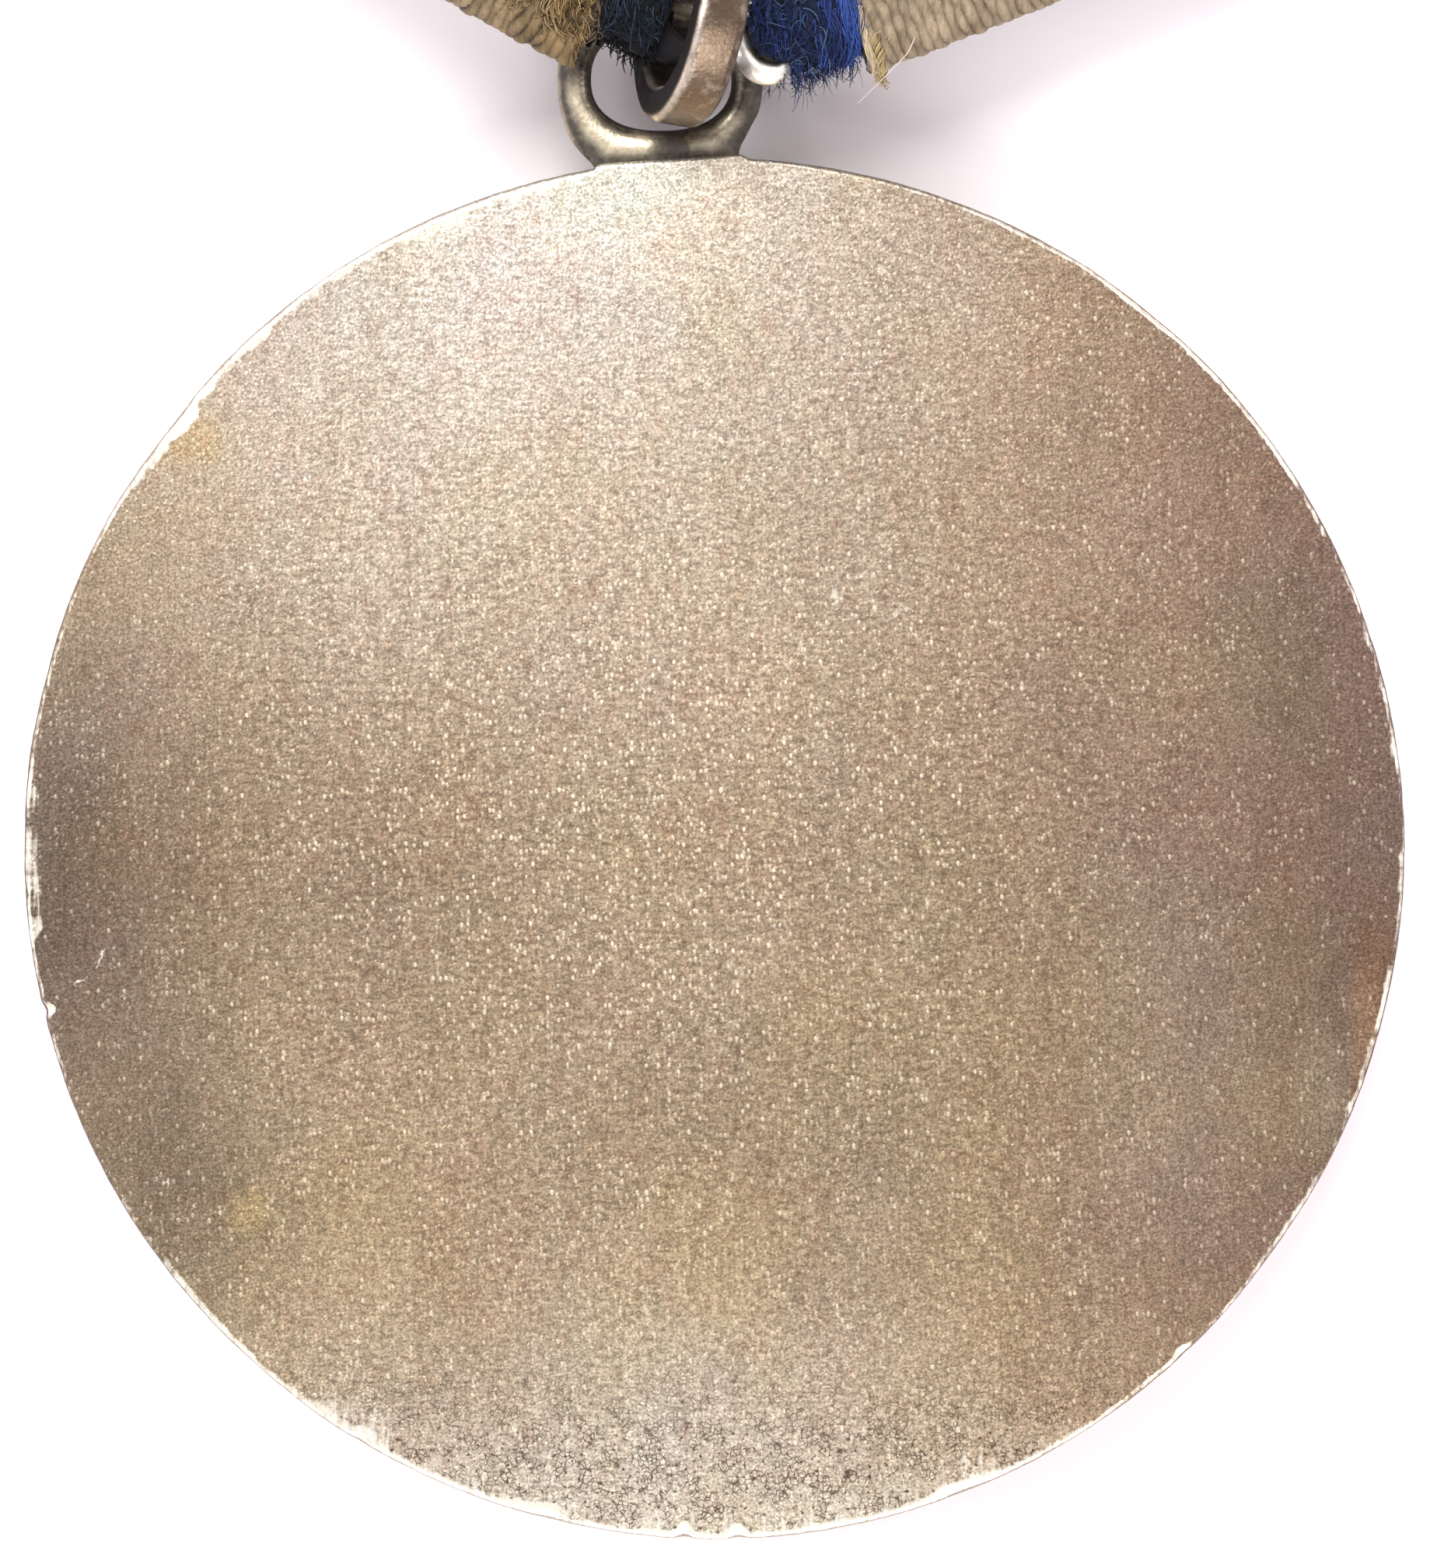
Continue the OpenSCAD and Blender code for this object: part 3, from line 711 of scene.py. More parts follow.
def make_eyelet():
    """Lug with a rounded hole; its outside runs down into a foot on the edge of the disc."""
    n, nw = 288, 19
    ang = np.linspace(0, 2 * math.pi, n, endpoint=False)
    c, s = np.cos(ang), np.sin(ang)
    a, b = HOLE_W / 2 - 0.01, np.where(s < 0, HOLE_H / 2 - 0.11, HOLE_H / 2)
    power = 2.3
    r_in = (np.abs(c / a) ** power + np.abs(s / b) ** power) ** (-1 / power)
    lug = np.array(sorted((math.atan2(v, u), math.hypot(u, v)) for u, v in LUG))
    r_out = np.interp(ang, lug[:, 0], lug[:, 1], period=2 * math.pi)
    for _ in range(3):
        r_out = (np.roll(r_out, 1) + 2 * r_out + np.roll(r_out, -1)) / 4
    r_out = r_out + 0.02 * (noise1(ang * 5, 21.0) - 0.5)
    down = smooth(-0.55, -0.85, s)[:, None]
    w = 0.5 - 0.5 * np.cos(np.linspace(0, math.pi, nw))
    crown = np.sqrt(np.clip(1 - ((w - 0.5) / 0.505) ** 2, 0, 1))
    W, A = np.broadcast_to(w, (n, nw)), np.broadcast_to(ang[:, None], (n, nw))
    R = blend(r_in[:, None], r_out[:, None], W)
    x, y = R * c[:, None], R * s[:, None]
    z = 0.46 * blend(crown, np.where(w > 0.5, 1.0, crown), down) \
        - 0.10 * down * smooth(0.45, 1.0, W)
    bottom = stack(x, y, EYE_Z - z)[:, ::-1][:, 1:-1]
    pts = np.concatenate([stack(x, y, EYE_Z + z), bottom], axis=1)
    rough = noise2(A * 26, W * 9, 23.0)
    band = smooth(0.03, 0.22, W) * smooth(0.85, 0.38, W)
    # painted highlight: the inner bevel is bright towards the lower left and lower right, and a pale
    # line runs along the outer left edge, over light rubbing
    wear_and_highlight = band * (1.25 * arc(A, 222, 24, 30) + 0.70 * arc(A, 316, 12, 16) + 0.25 * arc(A, 90, 60))
    wear_and_highlight = (wear_and_highlight + 0.40 * smooth(0.88, 0.98, W) * arc(A, 192, 16) + 0.10) * (0.75 + 0.5 * rough)
    # darker at the hole's edge, oxide darkens the outside, and the dark patch at the bottom is a
    # painted shadow of the ring
    soot_and_shade = 0.8 * smooth(0.12, 0.02, W) + 0.5 * smooth(0.45, 0.75, W) * (0.4 + 0.8 * rough) \
        + 0.55 * arc(A, 274, 7, 14) * smooth(0.85, 0.3, W)
    soot_and_shade = soot_and_shade * (1 - 0.8 * smooth(0.86, 0.97, W) * arc(A, 190, 18))
    under = np.full((n, nw - 2), 0.1)
    wear_and_highlight, soot_and_shade = (np.concatenate([np.clip(m, 0, top), under], axis=1)
                  for m, top in ((wear_and_highlight, 1), (soot_and_shade, 0.6)))
    cy = FLAT_R + 2 * WIRE_R + HOLE_H / 2
    pts = pts.reshape(-1, 3) + [-cy * math.sin(EYE_TURN), cy * math.cos(EYE_TURN), 0]
    ob = add_object("worn_eyelet", pts, grid_faces(*wear_and_highlight.shape, True, True), EYELET, "medal",
                    stack(wear_and_highlight, 0 * wear_and_highlight, soot_and_shade).reshape(-1, 3))
    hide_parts("eyelet_loop", "eyelet_braze")


def make_ring():
    """Ring of flattened wire, rubbed along its two outer corners with a painted highlight there, and
    painted shade on its side faces and inner side.
    """
    n, mid = 240, RING_RO - RING_RADIAL / 2
    section = rounded_section(RING_RADIAL / 2, RING_AXIAL / 2, 0.30, 9)
    i = np.arange(n)
    thin = 1 - 0.03 * noise1(i / 7, 31.0)[:, None]
    x = section[:, 1] * thin
    r = mid + section[:, 0] * thin
    ang = (i / n * 2 * math.pi)[:, None]
    y, z = r * np.cos(ang), r * np.sin(ang)
    sx, sy = section[:, 0] / (RING_RADIAL / 2), section[:, 1] / (RING_AXIAL / 2)
    corner = smooth(0.55, 0.95, np.abs(sx)) * smooth(0.55, 0.95, np.abs(sy))
    wear_and_highlight = np.clip(0.24 + 0.75 * corner * (0.25 + 0.75 * smooth(0.5, 0.9, -sy)), 0, 1) \
        * (0.75 + 0.5 * noise1(i / 9, 33.0))[:, None]
    # painted shade: the side faces and the inner side are darkened, one face nearly black
    soot_and_shade = np.clip(0.95 * smooth(-0.93, -0.985, sy) + 0.55 * smooth(0.6, 0.95, sy)
                   + 0.7 * smooth(0.2, -0.6, sx), 0, 0.95)
    x, z = spin(x, z, -RING_LEAN)
    x, y = spin(x, y, -RING_TURN)
    ob = add_object("worn_ring", stack(x, y, z).reshape(-1, 3) + RING_C,
                    grid_faces(n, len(section), True, True), RING, "ring",
                    stack(np.clip(wear_and_highlight, 0, 1), 0 * wear_and_highlight, soot_and_shade + 0 * wear_and_highlight).reshape(-1, 3))
    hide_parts("suspension_ring")


LIFTS = np.radians(np.linspace(*joints["mount_lift"]["range_deg"], 26))[:, None]


def ring_gap(p):
    """Least distance from points of the mount to the ring, over the mount's whole swing."""
    v, z = spin(p[:, 1] - BAR_V, p[:, 2], LIFTS)
    q = mount_to_row(stack(p[:, 0] + 0 * v, BAR_V + v, z)) - RING_C
    x, y = spin(q[..., 0], q[..., 1], RING_TURN)
    x, z = spin(x, q[..., 2], RING_LEAN)
    side = np.abs(x) - RING_AXIAL / 2
    radial = np.abs(np.hypot(y, z) - RING_RO + RING_RADIAL / 2) - RING_RADIAL / 2
    inside = np.minimum(np.maximum(side, radial), 0)
    return (inside + np.hypot(np.clip(side, 0, None), np.clip(radial, 0, None))).min(axis=0)


# ---- mount plate ----
def make_plate():
    """Pentagonal plate with rounded edges; a thin bar closes the slot at the tip."""
    inset = 0.46 / math.cos(SLOPE)
    side = HALF_WIDE - 0.3
    upper = [(4.6, 3.0), (side, side * math.tan(SLOPE) + inset), (HALF_TOP - 0.3, 49.3)]
    right = [(0.0, 1.86), (0.75, 1.84), (1.0, 1.74), (1.2, 1.60), (1.42, 1.52), (1.70, 1.50),
             (1.95, 1.58), (2.14, 1.76), (2.24, 2.02), (2.40, 2.40), (2.75, 2.66)] + upper
    left = [(0.75, 1.84), (1.05, 1.86), (1.3, 1.96), (1.6, 2.12), (1.95, 2.28), (2.24, 2.44),
            (2.75, 2.70)] + upper
    outline = [(-x, v) for x, v in reversed(left)] + right
    slot = []
    for centre, start in ((SLOT_V0 + SLOT_HALF, math.pi), (SLOT_V1 - SLOT_HALF, 0.0)):
        for i in range(17):
            t = start + math.pi * i / 16
            slot.append((SLOT_HALF * math.cos(t), centre + SLOT_HALF * math.sin(t)))
    cu = bpy.data.curves.new("plate_outline", "CURVE")
    cu.dimensions, cu.fill_mode = "2D", "BOTH"
    for ring in (outline, slot):
        sp = cu.splines.new("POLY")
        sp.points.add(len(ring) - 1)
        for q, (x, v) in zip(sp.points, ring):
            q.co = (x, v, 0, 1)
        sp.use_cyclic_u = True
    cu.extrude, cu.bevel_depth, cu.bevel_resolution = PLATE_H - PLATE_ROUND, PLATE_ROUND, 4
    cu.offset = -PLATE_ROUND
    tmp = new_object("plate_tmp", cu)
    dg = bpy.context.evaluated_depsgraph_get()
    me = bpy.data.meshes.new_from_object(tmp.evaluated_get(dg))
    bpy.data.objects.remove(tmp)
    points = mount_to_row([tuple(p.co) for p in me.vertices])
    faces = [list(p.vertices) for p in me.polygons]
    bpy.data.meshes.remove(me)
    ob = add_object("mount_metal_plate", points, faces, PLATE, "mount")
    ob.modifiers.new("even_shading", "WEIGHTED_NORMAL")
    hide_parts("mount_plate")


def make_lobe():
    """Swelling at the right of the tip, with a painted highlight along one side."""
    count, sides, clearance = 60, 20, 0.07
    t, path = rounded_path([(0.80, 2.95, 0.12), (0.82, 2.72, 0.24), (0.90, 2.36, 0.30),
                            (1.08, 2.06, 0.33), (1.34, 1.82, 0.35), (1.64, 1.74, 0.33),
                            (1.94, 1.82, 0.28), (2.14, 2.02, 0.20), (2.22, 2.22, 0.10)], count, 3)
    centres = stack(path[:, 0], path[:, 1], 0.33 + 0 * t)
    girth = np.clip(np.minimum(path[:, 2], ring_gap(centres) - clearance), 0.03, None)
    d = np.gradient(centres, axis=0)
    d /= np.linalg.norm(d, axis=1)[:, None]
    ring = tube(centres, girth, stack(d[:, 1], -d[:, 0], 0 * t), np.tile([0, 0, 1.0], (count, 1)),
                sides)
    a = np.arange(sides) / sides * 2 * math.pi
    # painted highlight along one side of the swelling
    wear_and_highlight = 0.55 + 0.45 * np.sin(a + 0.6)[None] + 0.3 * (noise1(t, 52.0)[:, None] - 0.5)
    add_object("tip_lobe", mount_to_row(ring.reshape(-1, 3)), grid_faces(count, sides, True), TIP,
               "mount", stack(np.clip(wear_and_highlight, 0, 1), 0 * wear_and_highlight, 0 * wear_and_highlight).reshape(-1, 3))


# ---- ribbon ----
# dark, middle and light of each stripe: painted shade in the gaps between cords, painted highlight
# on their crowns
TAN = lin(24, 18, 14), lin(104, 90, 73), lin(166, 150, 128)
OCHRE = lin(26, 20, 17), lin(98, 80, 54), lin(150, 128, 94)
BLUE = lin(10, 13, 26), lin(28, 40, 82), lin(62, 80, 132)
# the blue stripe in painted shade
NAVY_SHADE = lin(6, 7, 10), lin(18, 22, 33), lin(42, 52, 66)
CORD, FOLD_UP, FOLD_R = 0.27, 0.22, 0.53
# levels up the warp: end of the flap, top of the finely divided rows, nominal and real top
FLAP_T, FINE_T, TOP_T, TOP_V = 12.0, 4.4, 40, 49.25


def ramp3(t, colours):
    """From the first colour through the second to the third as t goes from 0 to 1."""
    t = np.clip(t, 0, 1)[..., None]
    a, b, c = np.array(colours)
    return np.where(t < 0.5, a + (b - a) * t * 2, b + (c - b) * (t * 2 - 1))


def edge_of_wear(side, x):
    """Lowest level of the cloth, at each distance from the middle, where the tip is worn bare."""
    if side > 0:
        return np.interp(x, [0.82, 0.93, 1.05, 1.3, 1.5, 1.9, 2.15, 2.25, 2.32],
                         [9.0, 3.3, 2.75, 2.3, 2.12, 2.05, 2.05, 1.8, 0.0])
    return np.interp(x, [0.82, 1.0, 1.3, 1.6, 2.0, 2.2, 3.1, 3.4, 3.8],
                     [9.0, 3.1, 2.3, 2.0, 2.0, 2.32, 2.36, 2.05, 0.0])


def cord_relief(s, t, seed, jitter):
    """Relief of the twisted cords, 0 in the gaps to 1 on the crowns, and the cord's number."""
    w = (s - 0.42 * np.clip(t, -3, 3)) / CORD + jitter * (noise2(s * 1.7, t * 1.3, seed) - 0.5) \
        + 0.2 * jitter * np.sin(t * 5 + s * 3) + 1.1 * (noise2(s * 0.35, t * 0.6, seed + 4) - 0.5)
    k = np.floor(w)
    f = w - k
    round_ = np.sqrt(np.clip(1 - (2 * f - 1) ** 2, 0, 1))
    weft = 0.5 + 0.5 * np.cos(2 * math.pi * (t / 0.62 + 0.5 * np.mod(k, 2) + 0.35 * hash01(k, seed)))
    return round_, weft, k


def lay_cloth(name, cad, points, inside, colour, weave, flip):
    """Cloth piece from a grid of mount points, with the quads whose corners are all inside."""
    keep = inside[:-1, :-1] & inside[1:, :-1] & inside[:-1, 1:] & inside[1:, 1:]
    faces = grid_faces(*inside.shape, keep=keep, flip=flip)
    pts, faces, colour, uv = drop_loose(points.reshape(-1, 3), faces, colour.reshape(-1, 3),
                                        weave.reshape(-1, 2))
    ob = add_object(name, mount_to_row(pts), faces, CLOTH, "mount", colour, uv)
    mod = ob.modifiers.new("thickness", "SOLIDIFY")
    mod.thickness, mod.offset = 0.16 * MM, -1.0
    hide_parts(cad)
    return ob


def make_wrap(side, name, s_blue, jitter, seed):
    """side +1 right, -1 left. Rows run from the flap's end over the fold and up the front."""
    end = HALF_WIDE / math.cos(SLOPE)
    s = np.concatenate([np.arange(0.85, 11.0, CORD / 8), np.arange(11.0, end, CORD / 4.5)])
    s[-1] = end
    back = np.concatenate([np.linspace(FLAP_T, FINE_T, 20), np.linspace(4.3, 0.55, 44)])
    fold = np.linspace(0, math.pi, 15)[1:-1]
    front = np.concatenate([np.linspace(0.55, 4.3, 26), np.linspace(4.6, TOP_T, 26)])
    t = np.concatenate([back, FOLD_R - FOLD_R * np.sin(fold), front])
    S, T = np.meshgrid(s, t + FOLD_UP * smooth(8, 4, t))
    # height, the two parts of the outward direction, and the distance along the cloth
    Z, NT, NZ, Q = (np.repeat(np.concatenate(parts)[:, None], len(s), axis=1) for parts in (
        (FOLD_R + 0 * back, FOLD_R * np.cos(fold), 0 * front - FOLD_R),
        (0 * back, -np.sin(fold), 0 * front),
        (0 * back + 1, np.cos(fold), 0 * front - 1),
        (-back, np.cumsum(0 * fold + 0.1) - 0.5, 1.0 + front)))
    top = (TOP_V - S * EDGE[1]) / WARP[1]
    T = np.where((Z < -FOLD_R + 1e-6) & (T > FINE_T),
                 FINE_T + (T - FINE_T) / (TOP_T - FINE_T) * (top - FINE_T), T)
    rnd, weft, k = cord_relief(S, Q, seed, jitter)
    near = 1 - smooth(5.0, 8.0, T)
    height = 0.15 * rnd * (1 - 0.28 * near * (1 - weft)) \
        + 0.05 * (noise2(S * 2.2, Q * 2.2, seed) - 0.5)
    loose = (1 - smooth(0.2, 1.6, T)) * jitter
    height = height + 0.14 * loose * (hash01(k, seed + 3) - 0.35)
    # relief pushes outwards: down the slope at the fold, up or down on the faces
    x = S * EDGE[0] + T * WARP[0]
    v = S * EDGE[1] + T * WARP[1]
    out = -NT * height
    # the flap lifts a little towards its cut end and sags between stitches
    lift = smooth(9.5, FLAP_T, T) * 0.10 * (0.5 + 0.5 * np.sin(S * 1.7)) * (Z > 0)
    local = stack(side * (x + out * math.sin(SLOPE)), v - out * math.cos(SLOPE),
                  Z + NZ * height * 0.9 + lift)
    # kept clear of the slot and the ring, open where the fold has worn through near the tip
    ragged = 0.12 * (hash01(k, seed + 9) - 0.5)
    ragged_v = 0.22 * (hash01(np.floor(x * 8), seed + 2) - 0.5)
    clear = (x > 0.9 + 0.1 * hash01(np.floor(v * 7), seed)) | (v > SLOT_V1 + 0.35)
    clear &= v > edge_of_wear(side, x) + ragged_v
    near_ring = (x < 3.6) & (v < 9.5)
    clear[near_ring] &= ring_gap(local[near_ring]) > 0.34
    on_face = np.abs(Z) >= FOLD_R - 1e-6
    unworn = (S > s_blue + 0.04) | ((T > 0.62 + ragged + 0.075 * (s_blue - S)) & on_face)
    # colour: blue inner edge stripe, faded tan body, outer edge stripe
    # painted shade and highlight: lighter on the cords' crowns, darker in the gaps, with harder
    # contrast near the fold
    light = 0.02 + 0.98 * rnd ** (1 + 1.3 * near) * (1 - 0.22 * near * (1 - weft)) \
        + 0.22 * (hash01(k, seed + 1) - 0.5)
    # painted shade and stain on the left near the tip: the tan turns darker ochre, the blue navy
    stain_and_shade = (side < 0) * (smooth(9.5, 4.0, S) * (1 - 0.6 * smooth(6, 11, T)))[..., None]
    tan = blend(ramp3(light, TAN), ramp3(light - 0.05, OCHRE), stain_and_shade)
    blue = blend(ramp3(light - 0.1, BLUE), ramp3(light - 0.2, NAVY_SHADE), stain_and_shade)
    # painted shade: the blue's inner part is darkened near the tip
    blue = blue * (1 - 0.8 * smooth(4.3, 3.5, S) * smooth(9, 5, T))[..., None]
    edge_s = s_blue + 0.12 * (noise1(Q * 3, seed) - 0.5)
    is_blue = smooth(0.06, -0.06, S - edge_s) + smooth(-0.06, 0.06, S - (end - 2.4))
    near_s, near_q = (0.50, 2.05) if side > 0 else (1.15, 1.5)
    speck = smooth(1.3, 0.8, np.hypot((S - s_blue - near_s) / 0.22, (np.abs(Q) - near_q) / 0.26))
    is_blue = np.clip(is_blue + 0.85 * speck, 0, 1)[..., None]
    grime = 1 - 0.25 * noise2(S * 0.9, Q * 0.9, seed + 7)
    return lay_cloth(name, name + "_wrap", local, clear & (x > 0.08) & unworn,
                     blend(tan, blue, is_blue) * grime[..., None], stack(S, Q), side < 0)


def make_band():
    """Vertical middle length on the front, folded over the top side to a short flap."""
    x = np.arange(-12.0, 12.0001, CORD / 3)
    low = np.maximum(np.abs(x) * math.tan(SLOPE) + 0.45 + FOLD_UP,
                     3.5 * smooth(4.2, 3.6, np.abs(x)))
    top = 49.4
    rows = [(low + (top - low) * f, BAND_Z, 0.0, -1.0) for f in np.linspace(0, 1, 60)]
    for a in np.linspace(0, math.pi, 11)[1:-1]:
        z = (BAND_Z + FLAP_Z) / 2 - (FLAP_Z - BAND_Z) / 2 * math.cos(a)
        rows.append((top + 0.45 * math.sin(a), z, math.sin(a), -math.cos(a)))
    rows += [(v, FLAP_Z, 0.0, 1.0) for v in np.linspace(49.5, 43.1, 12)]
    V, Z, NV, NZ = (np.stack([row[j] + 0 * x for row in rows]) for j in range(4))
    X = np.tile(x, (len(rows), 1))
    along = np.hypot(np.diff(V[:, 40]), np.diff(Z[:, 40]))
    Q = np.concatenate([[0], np.cumsum(along)])[:, None] + 0 * X
    rnd, weft, k = cord_relief(X + 20, Q, 4.0, 0.2)
    height = 0.05 * rnd * (0.8 + 0.2 * weft) + 0.03 * (noise2(X * 1.5, Q * 1.5, 3.0) - 0.5)
    # painted shade and highlight: lighter on the cords' crowns, darker between them
    light = 0.3 + 0.7 * rnd * (0.8 + 0.2 * weft) + 0.2 * (hash01(k, 2.0) - 0.5)
    is_blue = smooth(-0.05, 0.05, np.abs(X) - 9.6)[..., None]
    grime = (1 - 0.2 * noise2(X * 0.5, Q * 0.5, 5.0))[..., None]
    return lay_cloth("ribbon_middle", "ribbon_front_band",
                     stack(X, V + NV * height, Z + NZ * height * 0.7),
                     (np.abs(X) > 1.35) | (V > SLOT_V1 + 0.3),
                     blend(ramp3(light, TAN), ramp3(light - 0.1, BLUE), is_blue) * grime,
                     stack(X, Q), True)


# ---- loose fibres ----
def walk(rng, u, size, waves):
    """Smooth wandering along 0..1, starting from nothing."""
    y = sum(rng.uniform(-1, 1) / (k + 1) * np.sin(u * (k + 1) * waves + rng.uniform(0, 6.28))
            for k in range(3))
    return size * (y - y[0]) * smooth(0, 0.25, u)


class Fibres:
    """Many thin tapering threads of one side of the mount, gathered in one mesh."""

    def __init__(self, side, rng):
        self.side, self.rng = side, rng
        self.v, self.f, self.c = [], [], []
        self.n = 0

    def add(self, path, radius, colour, taper=0.35, sides=4):
        close = (np.abs(path[:, 0]) < 3.6) & (path[:, 1] < 9)
        if close.any():
            # a hair ends where the ring would rub it
            hit = close.copy()
            hit[close] = ring_gap(path[close]) < radius + 0.05
            path = path[:int(np.argmax(hit))] if hit.any() else path
        n = len(path)
        if n < 4:
            return
        tan = np.gradient(path, axis=0)
        tan /= np.linalg.norm(tan, axis=1)[:, None] + 1e-9
        a = np.cross(tan, np.array([0.31, 0.17, 0.93]))
        a /= np.linalg.norm(a, axis=1)[:, None] + 1e-9
        rad = radius * (1 - (1 - taper) * np.linspace(0, 1, n) ** 2)
        self.v.append(tube(path, rad, a, np.cross(tan, a), sides).reshape(-1, 3))
        self.f.append(grid_faces(n, sides, True) + self.n)
        self.c.append(np.tile(np.asarray(colour, float)[None], (n * sides, 1)))
        self.n += n * sides

    def lay(self, s, t, z, radius, colour, taper=0.35, free=False):
        """One hair over the cloth, cut off where the tip is bare unless it is free."""
        path = stack(self.side * (s * EDGE[0] + t * WARP[0]), s * EDGE[1] + t * WARP[1],
                     z + 0 * s)
        bare = (path[:, 1] < edge_of_wear(self.side, np.abs(path[:, 0])) - 0.02) \
            & (path[:, 1] < 4.6) & (not free)
        self.add(path[:int(np.argmax(bare))] if bare.any() else path, radius, colour, taper)

    def yarns(self, s_range, t_from, t_to, count, hairs, girth, palette, z0=0.68, wander=0.22,
              points=14):
        """Loosened yarns: bunches of hairs that follow one wandering line and spread at the end."""
        rng, u = self.rng, np.linspace(0, 1, points)
        for _ in range(count):
            s0 = rng.uniform(*s_range)
            a, b = rng.uniform(*t_from), rng.uniform(*t_to)
            cs = s0 + walk(rng, u, wander, 3.0)
            ct = a + (b - a) * u + walk(rng, u, 0.12, 3.0)
            cz = z0 + rng.uniform(-0.06, 0.14) + walk(rng, u, 0.08, 4.0)
            base = np.array(palette[rng.randint(len(palette))])
            for _ in range(hairs):
                ph, tw = rng.uniform(0, 6.28), rng.uniform(3, 7)
                rad = girth * np.sqrt(rng.uniform(0, 1)) * (0.7 + 1.6 * u ** 4)
                curl = 0.10 * u ** 3
                f, g = rng.uniform(9, 20), rng.uniform(0, 6.28)
                ss = cs + rad * np.cos(ph + tw * u) + curl * np.sin(f * u + g)
                tt = ct + (b - a) * u ** 3 * rng.uniform(-0.08, 0.08) + curl * np.cos(f * u + g)
                zz = cz + rad * np.sin(ph + tw * u) - 0.45 * np.clip((0.95 - tt) / 0.9, 0, 1.3) ** 2
                self.lay(ss, tt, zz, rng.uniform(0.018, 0.034), base * rng.uniform(0.45, 1.5))

    def fuzz(self, s_range, t_range, count, length, palette, radius, z0, fall=1.0, free=False):
        """Single short hairs lying every way, curled."""
        rng, u = self.rng, np.linspace(0, 1, 9)
        for _ in range(count):
            s0, t0 = rng.uniform(*s_range), rng.uniform(*t_range)
            head = rng.uniform(0, 6.28)
            a = head + rng.uniform(-4, 4) * u
            size = length * rng.uniform(0.4, 1.2)
            ss = s0 + size * np.cumsum(np.cos(a)) / 9
            tt = t0 + size * np.cumsum(np.sin(a) - 0.5 * fall) / 9
            zz = z0 + 0.16 * rng.uniform(-0.5, 1) * np.sin(u * 3.1) \
                - (0.0 if free else 0.45) * np.clip((0.95 - tt) / 0.9, 0, 1.5) ** 2
            hue = np.array(palette[rng.randint(len(palette))]) * rng.uniform(0.5, 1.4)
            self.lay(ss, tt, zz, radius * rng.uniform(0.7, 1.4), hue, 0.5, free)

    def strand(self, points, radius, colour, count, spread, seed):
        """A smooth strand through given mount points, of one or several hairs."""
        rng = np.random.RandomState(seed)
        _, path = rounded_path(points, 40, 4)
        u = np.linspace(0, 1, 40)
        for _ in range(count):
            ph = rng.uniform(0, 6.28)
            off = spread * np.sqrt(rng.uniform(0, 1))
            q = path + stack(off * np.cos(ph + 9 * u), off * np.sin(ph + 9 * u) * 0.3,
                             off * np.sin(ph + 9 * u))
            q[:, 0] += 0.16 * u ** 5 * rng.uniform(-1, 1)
            q[:, 1] -= 0.12 * u ** 5 * rng.uniform(-1, 1)
            self.add(q, radius * rng.uniform(0.7, 1.2), np.array(colour) * rng.uniform(0.7, 1.15),
                     0.5)

    def build(self, name):
        return add_object(name, mount_to_row(np.concatenate(self.v)), np.concatenate(self.f),
                          FIBRE, "mount", np.concatenate(self.c))


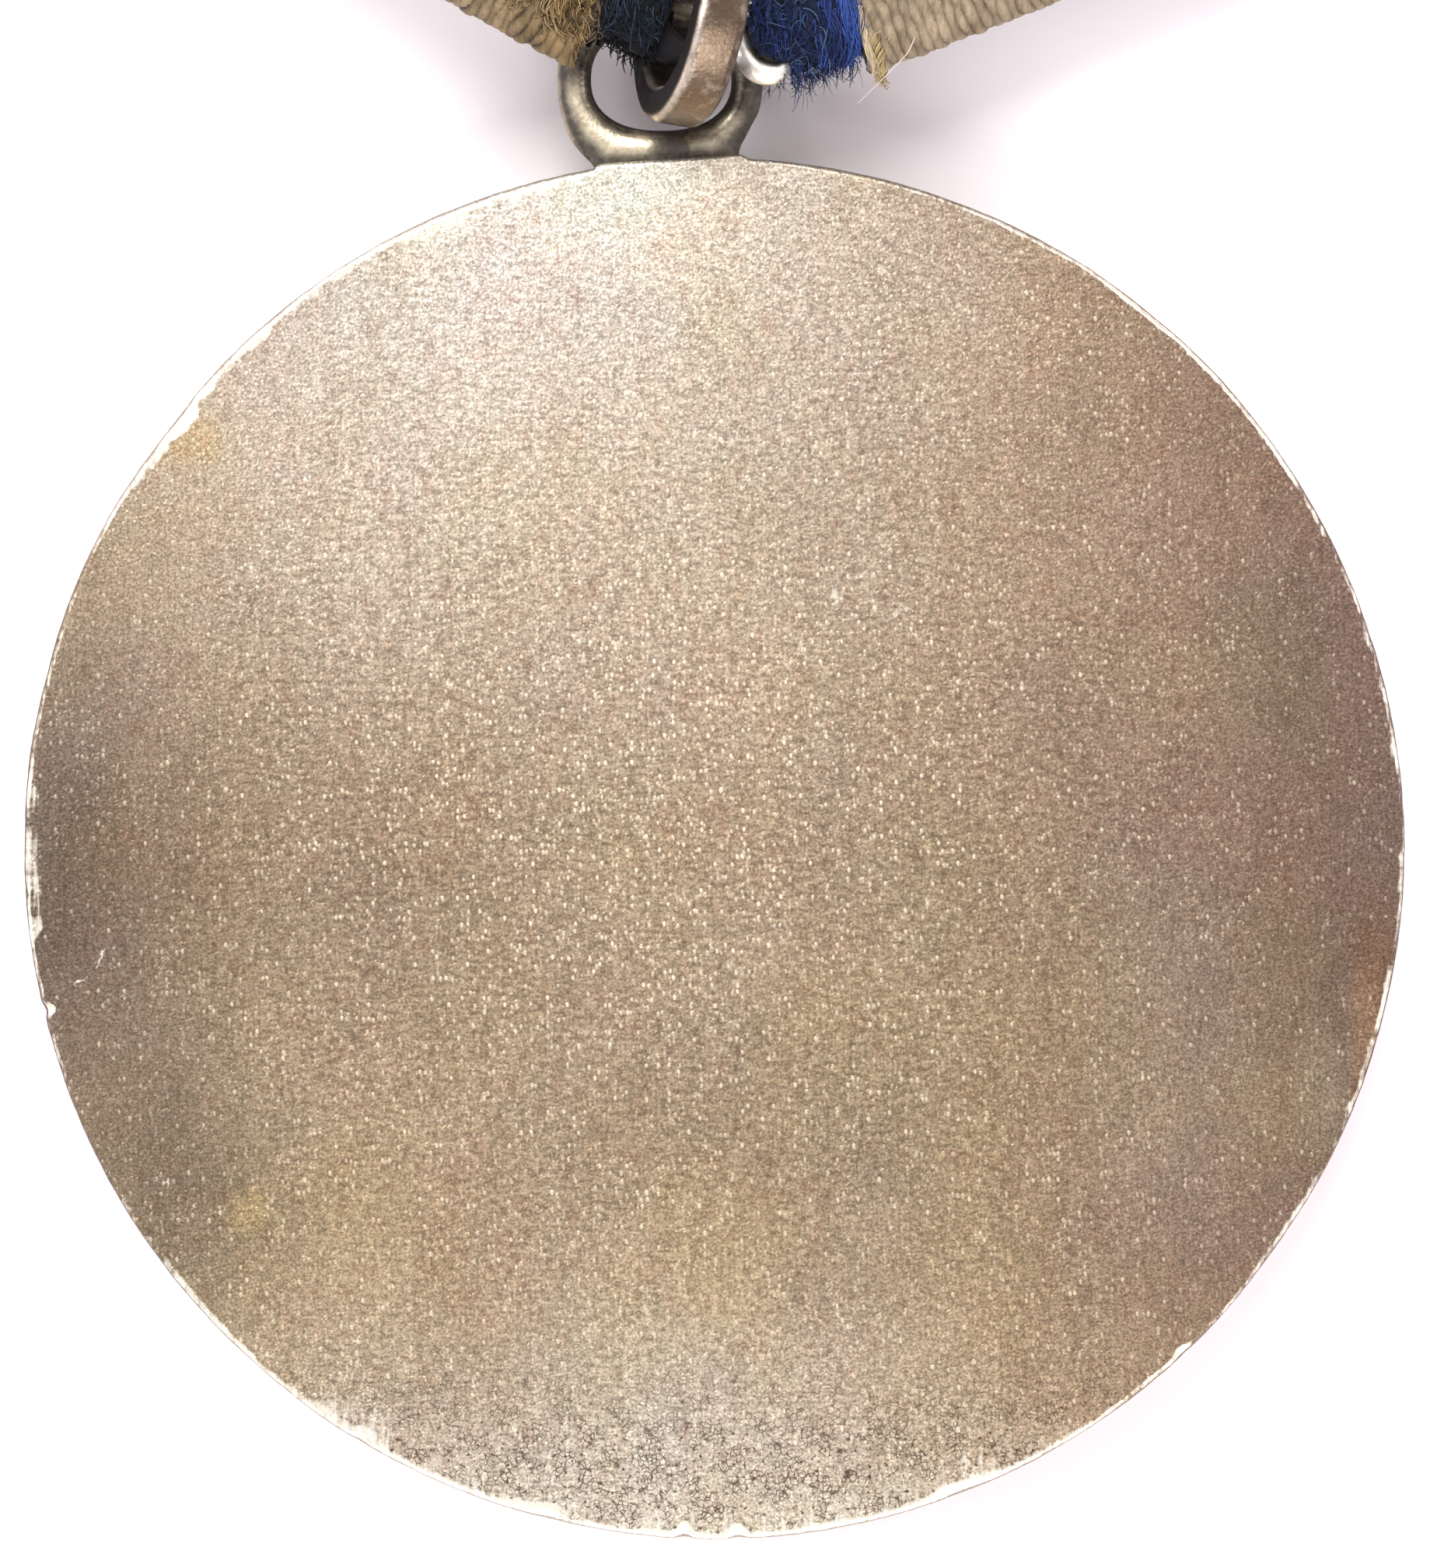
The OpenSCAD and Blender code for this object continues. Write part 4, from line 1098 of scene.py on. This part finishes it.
def make_fibres():
    rng = np.random.RandomState(11)
    left, right = Fibres(-1, rng), Fibres(1, rng)
    # deep blues, painted shade, for the hairs nearer the ring
    deep = [lin(20, 27, 56), lin(26, 38, 82), lin(12, 15, 28), lin(34, 46, 84)]
    cobalt = [lin(36, 52, 108), lin(50, 74, 142), lin(22, 32, 76)]
    teal = [lin(56, 80, 112), lin(84, 108, 136), lin(40, 60, 104)]
    right.yarns((0.9, 4.4), (3.2, 5.2), (0.5, 0.95), 34, 12, 0.15, deep, 0.60)
    right.yarns((1.8, 4.5), (2.4, 5.0), (0.46, 0.8), 30, 12, 0.13, deep + cobalt)
    right.yarns((3.6, 4.6), (1.6, 5.0), (0.40, 0.7), 12, 14, 0.12, cobalt, 0.70, 0.16)
    right.yarns((4.25, 4.65), (2.0, 5.2), (0.5, 1.6), 6, 14, 0.11, cobalt[1:2], 0.74, 0.12)
    right.fuzz((1.8, 4.3), (0.6, 3.6), 420, 0.7, teal + deep, 0.011, 0.84)
    right.fuzz((2.4, 4.5), (0.35, 0.6), 260, 0.40, deep, 0.011, 0.60, 1.2)
    right.fuzz((2.2, 2.9), (0.80, 1.0), 60, 0.36, deep, 0.010, 0.42, 1.3, True)
    right.fuzz((1.95, 2.35), (0.55, 0.95), 34, 0.34, deep[2:3], 0.006, -0.20, 1.2, True)
    right.strand([(3.93, 3.7, .74), (3.99, 3.3, .78), (4.13, 2.91, .82), (4.24, 2.5, .82),
                  (4.45, 2.16, .74), (4.60, 1.80, .55)], 0.026, lin(186, 168, 138), 26, 0.10, 3)
    right.strand([(4.30, 3.0, .74), (4.50, 2.55, .72), (4.66, 2.1, .66), (4.66, 1.62, .42)],
                 0.024, lin(164, 144, 104), 30, 0.15, 4)
    right.strand([(5.595, 3.25, .62), (5.46, 2.9, .74), (5.368, 2.55, .80), (5.08, 2.19, .78),
                  (4.6, 1.66, .6), (4.10, 1.13, .4)], 0.014, lin(216, 196, 196), 1, 0.0, 5)
    tan = [TAN[2], TAN[1], lin(160, 144, 114)]
    right.fuzz((4.7, 12.0), (0.45, 2.6), 260, 0.32, tan, 0.010, 0.76)
    right.fuzz((12.0, 24.6), (0.45, 2.6), 160, 0.32, tan, 0.010, 0.74)
    # painted shade: navy hairs on the shaded left, and near-black hairs filling the shadow left of
    # the ring
    navy_shade = [lin(22, 27, 40), lin(11, 12, 18), lin(36, 48, 64), lin(15, 19, 30)]
    black_shade = [lin(7, 7, 11), lin(4, 4, 6), lin(12, 13, 20)]
    ochre = [OCHRE[2], OCHRE[1], lin(142, 119, 80), lin(120, 97, 62), lin(78, 62, 44)]
    left.yarns((0.9, 3.7), (3.4, 5.4), (1.1, 1.9), 40, 12, 0.16, navy_shade, 0.62)
    left.fuzz((1.2, 3.9), (1.2, 4.0), 320, 0.6, navy_shade + [lin(48, 74, 98)], 0.012, 0.80)
    left.fuzz((1.65, 3.3), (0.95, 2.9), 900, 0.48, black_shade, 0.022, 0.56, 0.5, True)
    left.fuzz((1.3, 2.4), (2.2, 5.2), 420, 0.45, black_shade, 0.020, 0.60, 0.3, True)
    left.yarns((3.9, 5.4), (1.2, 3.2), (0.40, 1.0), 30, 14, 0.16, ochre, 0.66, 0.35, 12)
    left.fuzz((3.8, 6.2), (0.4, 3.4), 900, 0.50, ochre, 0.015, 0.80)
    left.yarns((5.2, 8.6), (1.2, 3.6), (0.5, 2.4), 30, 8, 0.12, ochre, 0.66, 0.35, 10)
    left.fuzz((6.0, 12.0), (0.5, 2.8), 420, 0.34, ochre + tan, 0.011, 0.78)
    left.fuzz((12.0, 24.6), (0.45, 2.6), 160, 0.32, tan, 0.010, 0.74)
    for f in (left, right):
        f.fuzz((2.0, 24.0), (11.6, FLAP_T), 150, 0.3, tan, 0.010, 0.60, -1.0)
    return left.build("frayed_fibres_left"), right.build("frayed_fibres_right")


make_disc()
make_eyelet()
make_ring()
make_plate()
make_lobe()
left = make_wrap(-1, "ribbon_left", 3.85, 0.75, 2.0)
right = make_wrap(1, "ribbon_right", 4.68, 0.45, 6.0)
band = make_band()
fib_left, fib_right = make_fibres()

# ---- CAD nodes that stay ----
for names, look in ((("enamel_roundel",), enamel()), (("pin_wire",), STEEL),
                    (("pin_strip", "strip_rivets", "pin_post", "pin_catch"), BRASS),
                    (("ribbon_stitches",), thread())):
    for name in names:
        slots = frame["nodes"][name].data.materials
        slots.clear()
        slots.append(look)

# ---- floor and light ----
FLOOR_HALF, FLOOR_Z = 1.2, -1e-5
board = bpy.data.meshes.new("floor")
board.from_pydata([(x * FLOOR_HALF, y * FLOOR_HALF, FLOOR_Z)
                   for x, y in ((-1, -1), (1, -1), (1, 1), (-1, 1))], [], [(0, 1, 2, 3)])
board.materials.append(white_floor())
new_object("floor", board)

world = bpy.data.worlds.new("soft_room")
bpy.context.scene.world = world
world.use_nodes = True
sky = world.node_tree.nodes["Background"].inputs
sky["Color"].default_value = (1.0, 0.965, 0.985, 1)
sky["Strength"].default_value = 0.62


def softbox(name, at, size, power, colour):
    """Square light that looks at the frame's origin."""
    light = bpy.data.lights.new(name, "AREA")
    light.shape, light.size, light.energy, light.color = "SQUARE", size, power, colour
    ob = new_object(name, light)
    ob.location = at
    ob.rotation_euler = (-Vector(at)).to_track_quat("-Z", "Y").to_euler()


softbox("top_softbox", (-0.10, 0.36, 0.44), 0.36, 3.2, (1.0, 0.99, 0.97))
softbox("low_softbox", (0.06, -0.46, 0.34), 0.34, 2.9, (1.0, 0.99, 0.97))
softbox("left_softbox", (-0.5, 0.05, 0.40), 0.30, 1.4, (1.0, 0.99, 1.0))
softbox("right_softbox", (0.5, 0.10, 0.36), 0.30, 1.0, (1.0, 0.99, 1.0))

view = bpy.context.scene.view_settings
view.view_transform = "Standard"
view.look = "None"
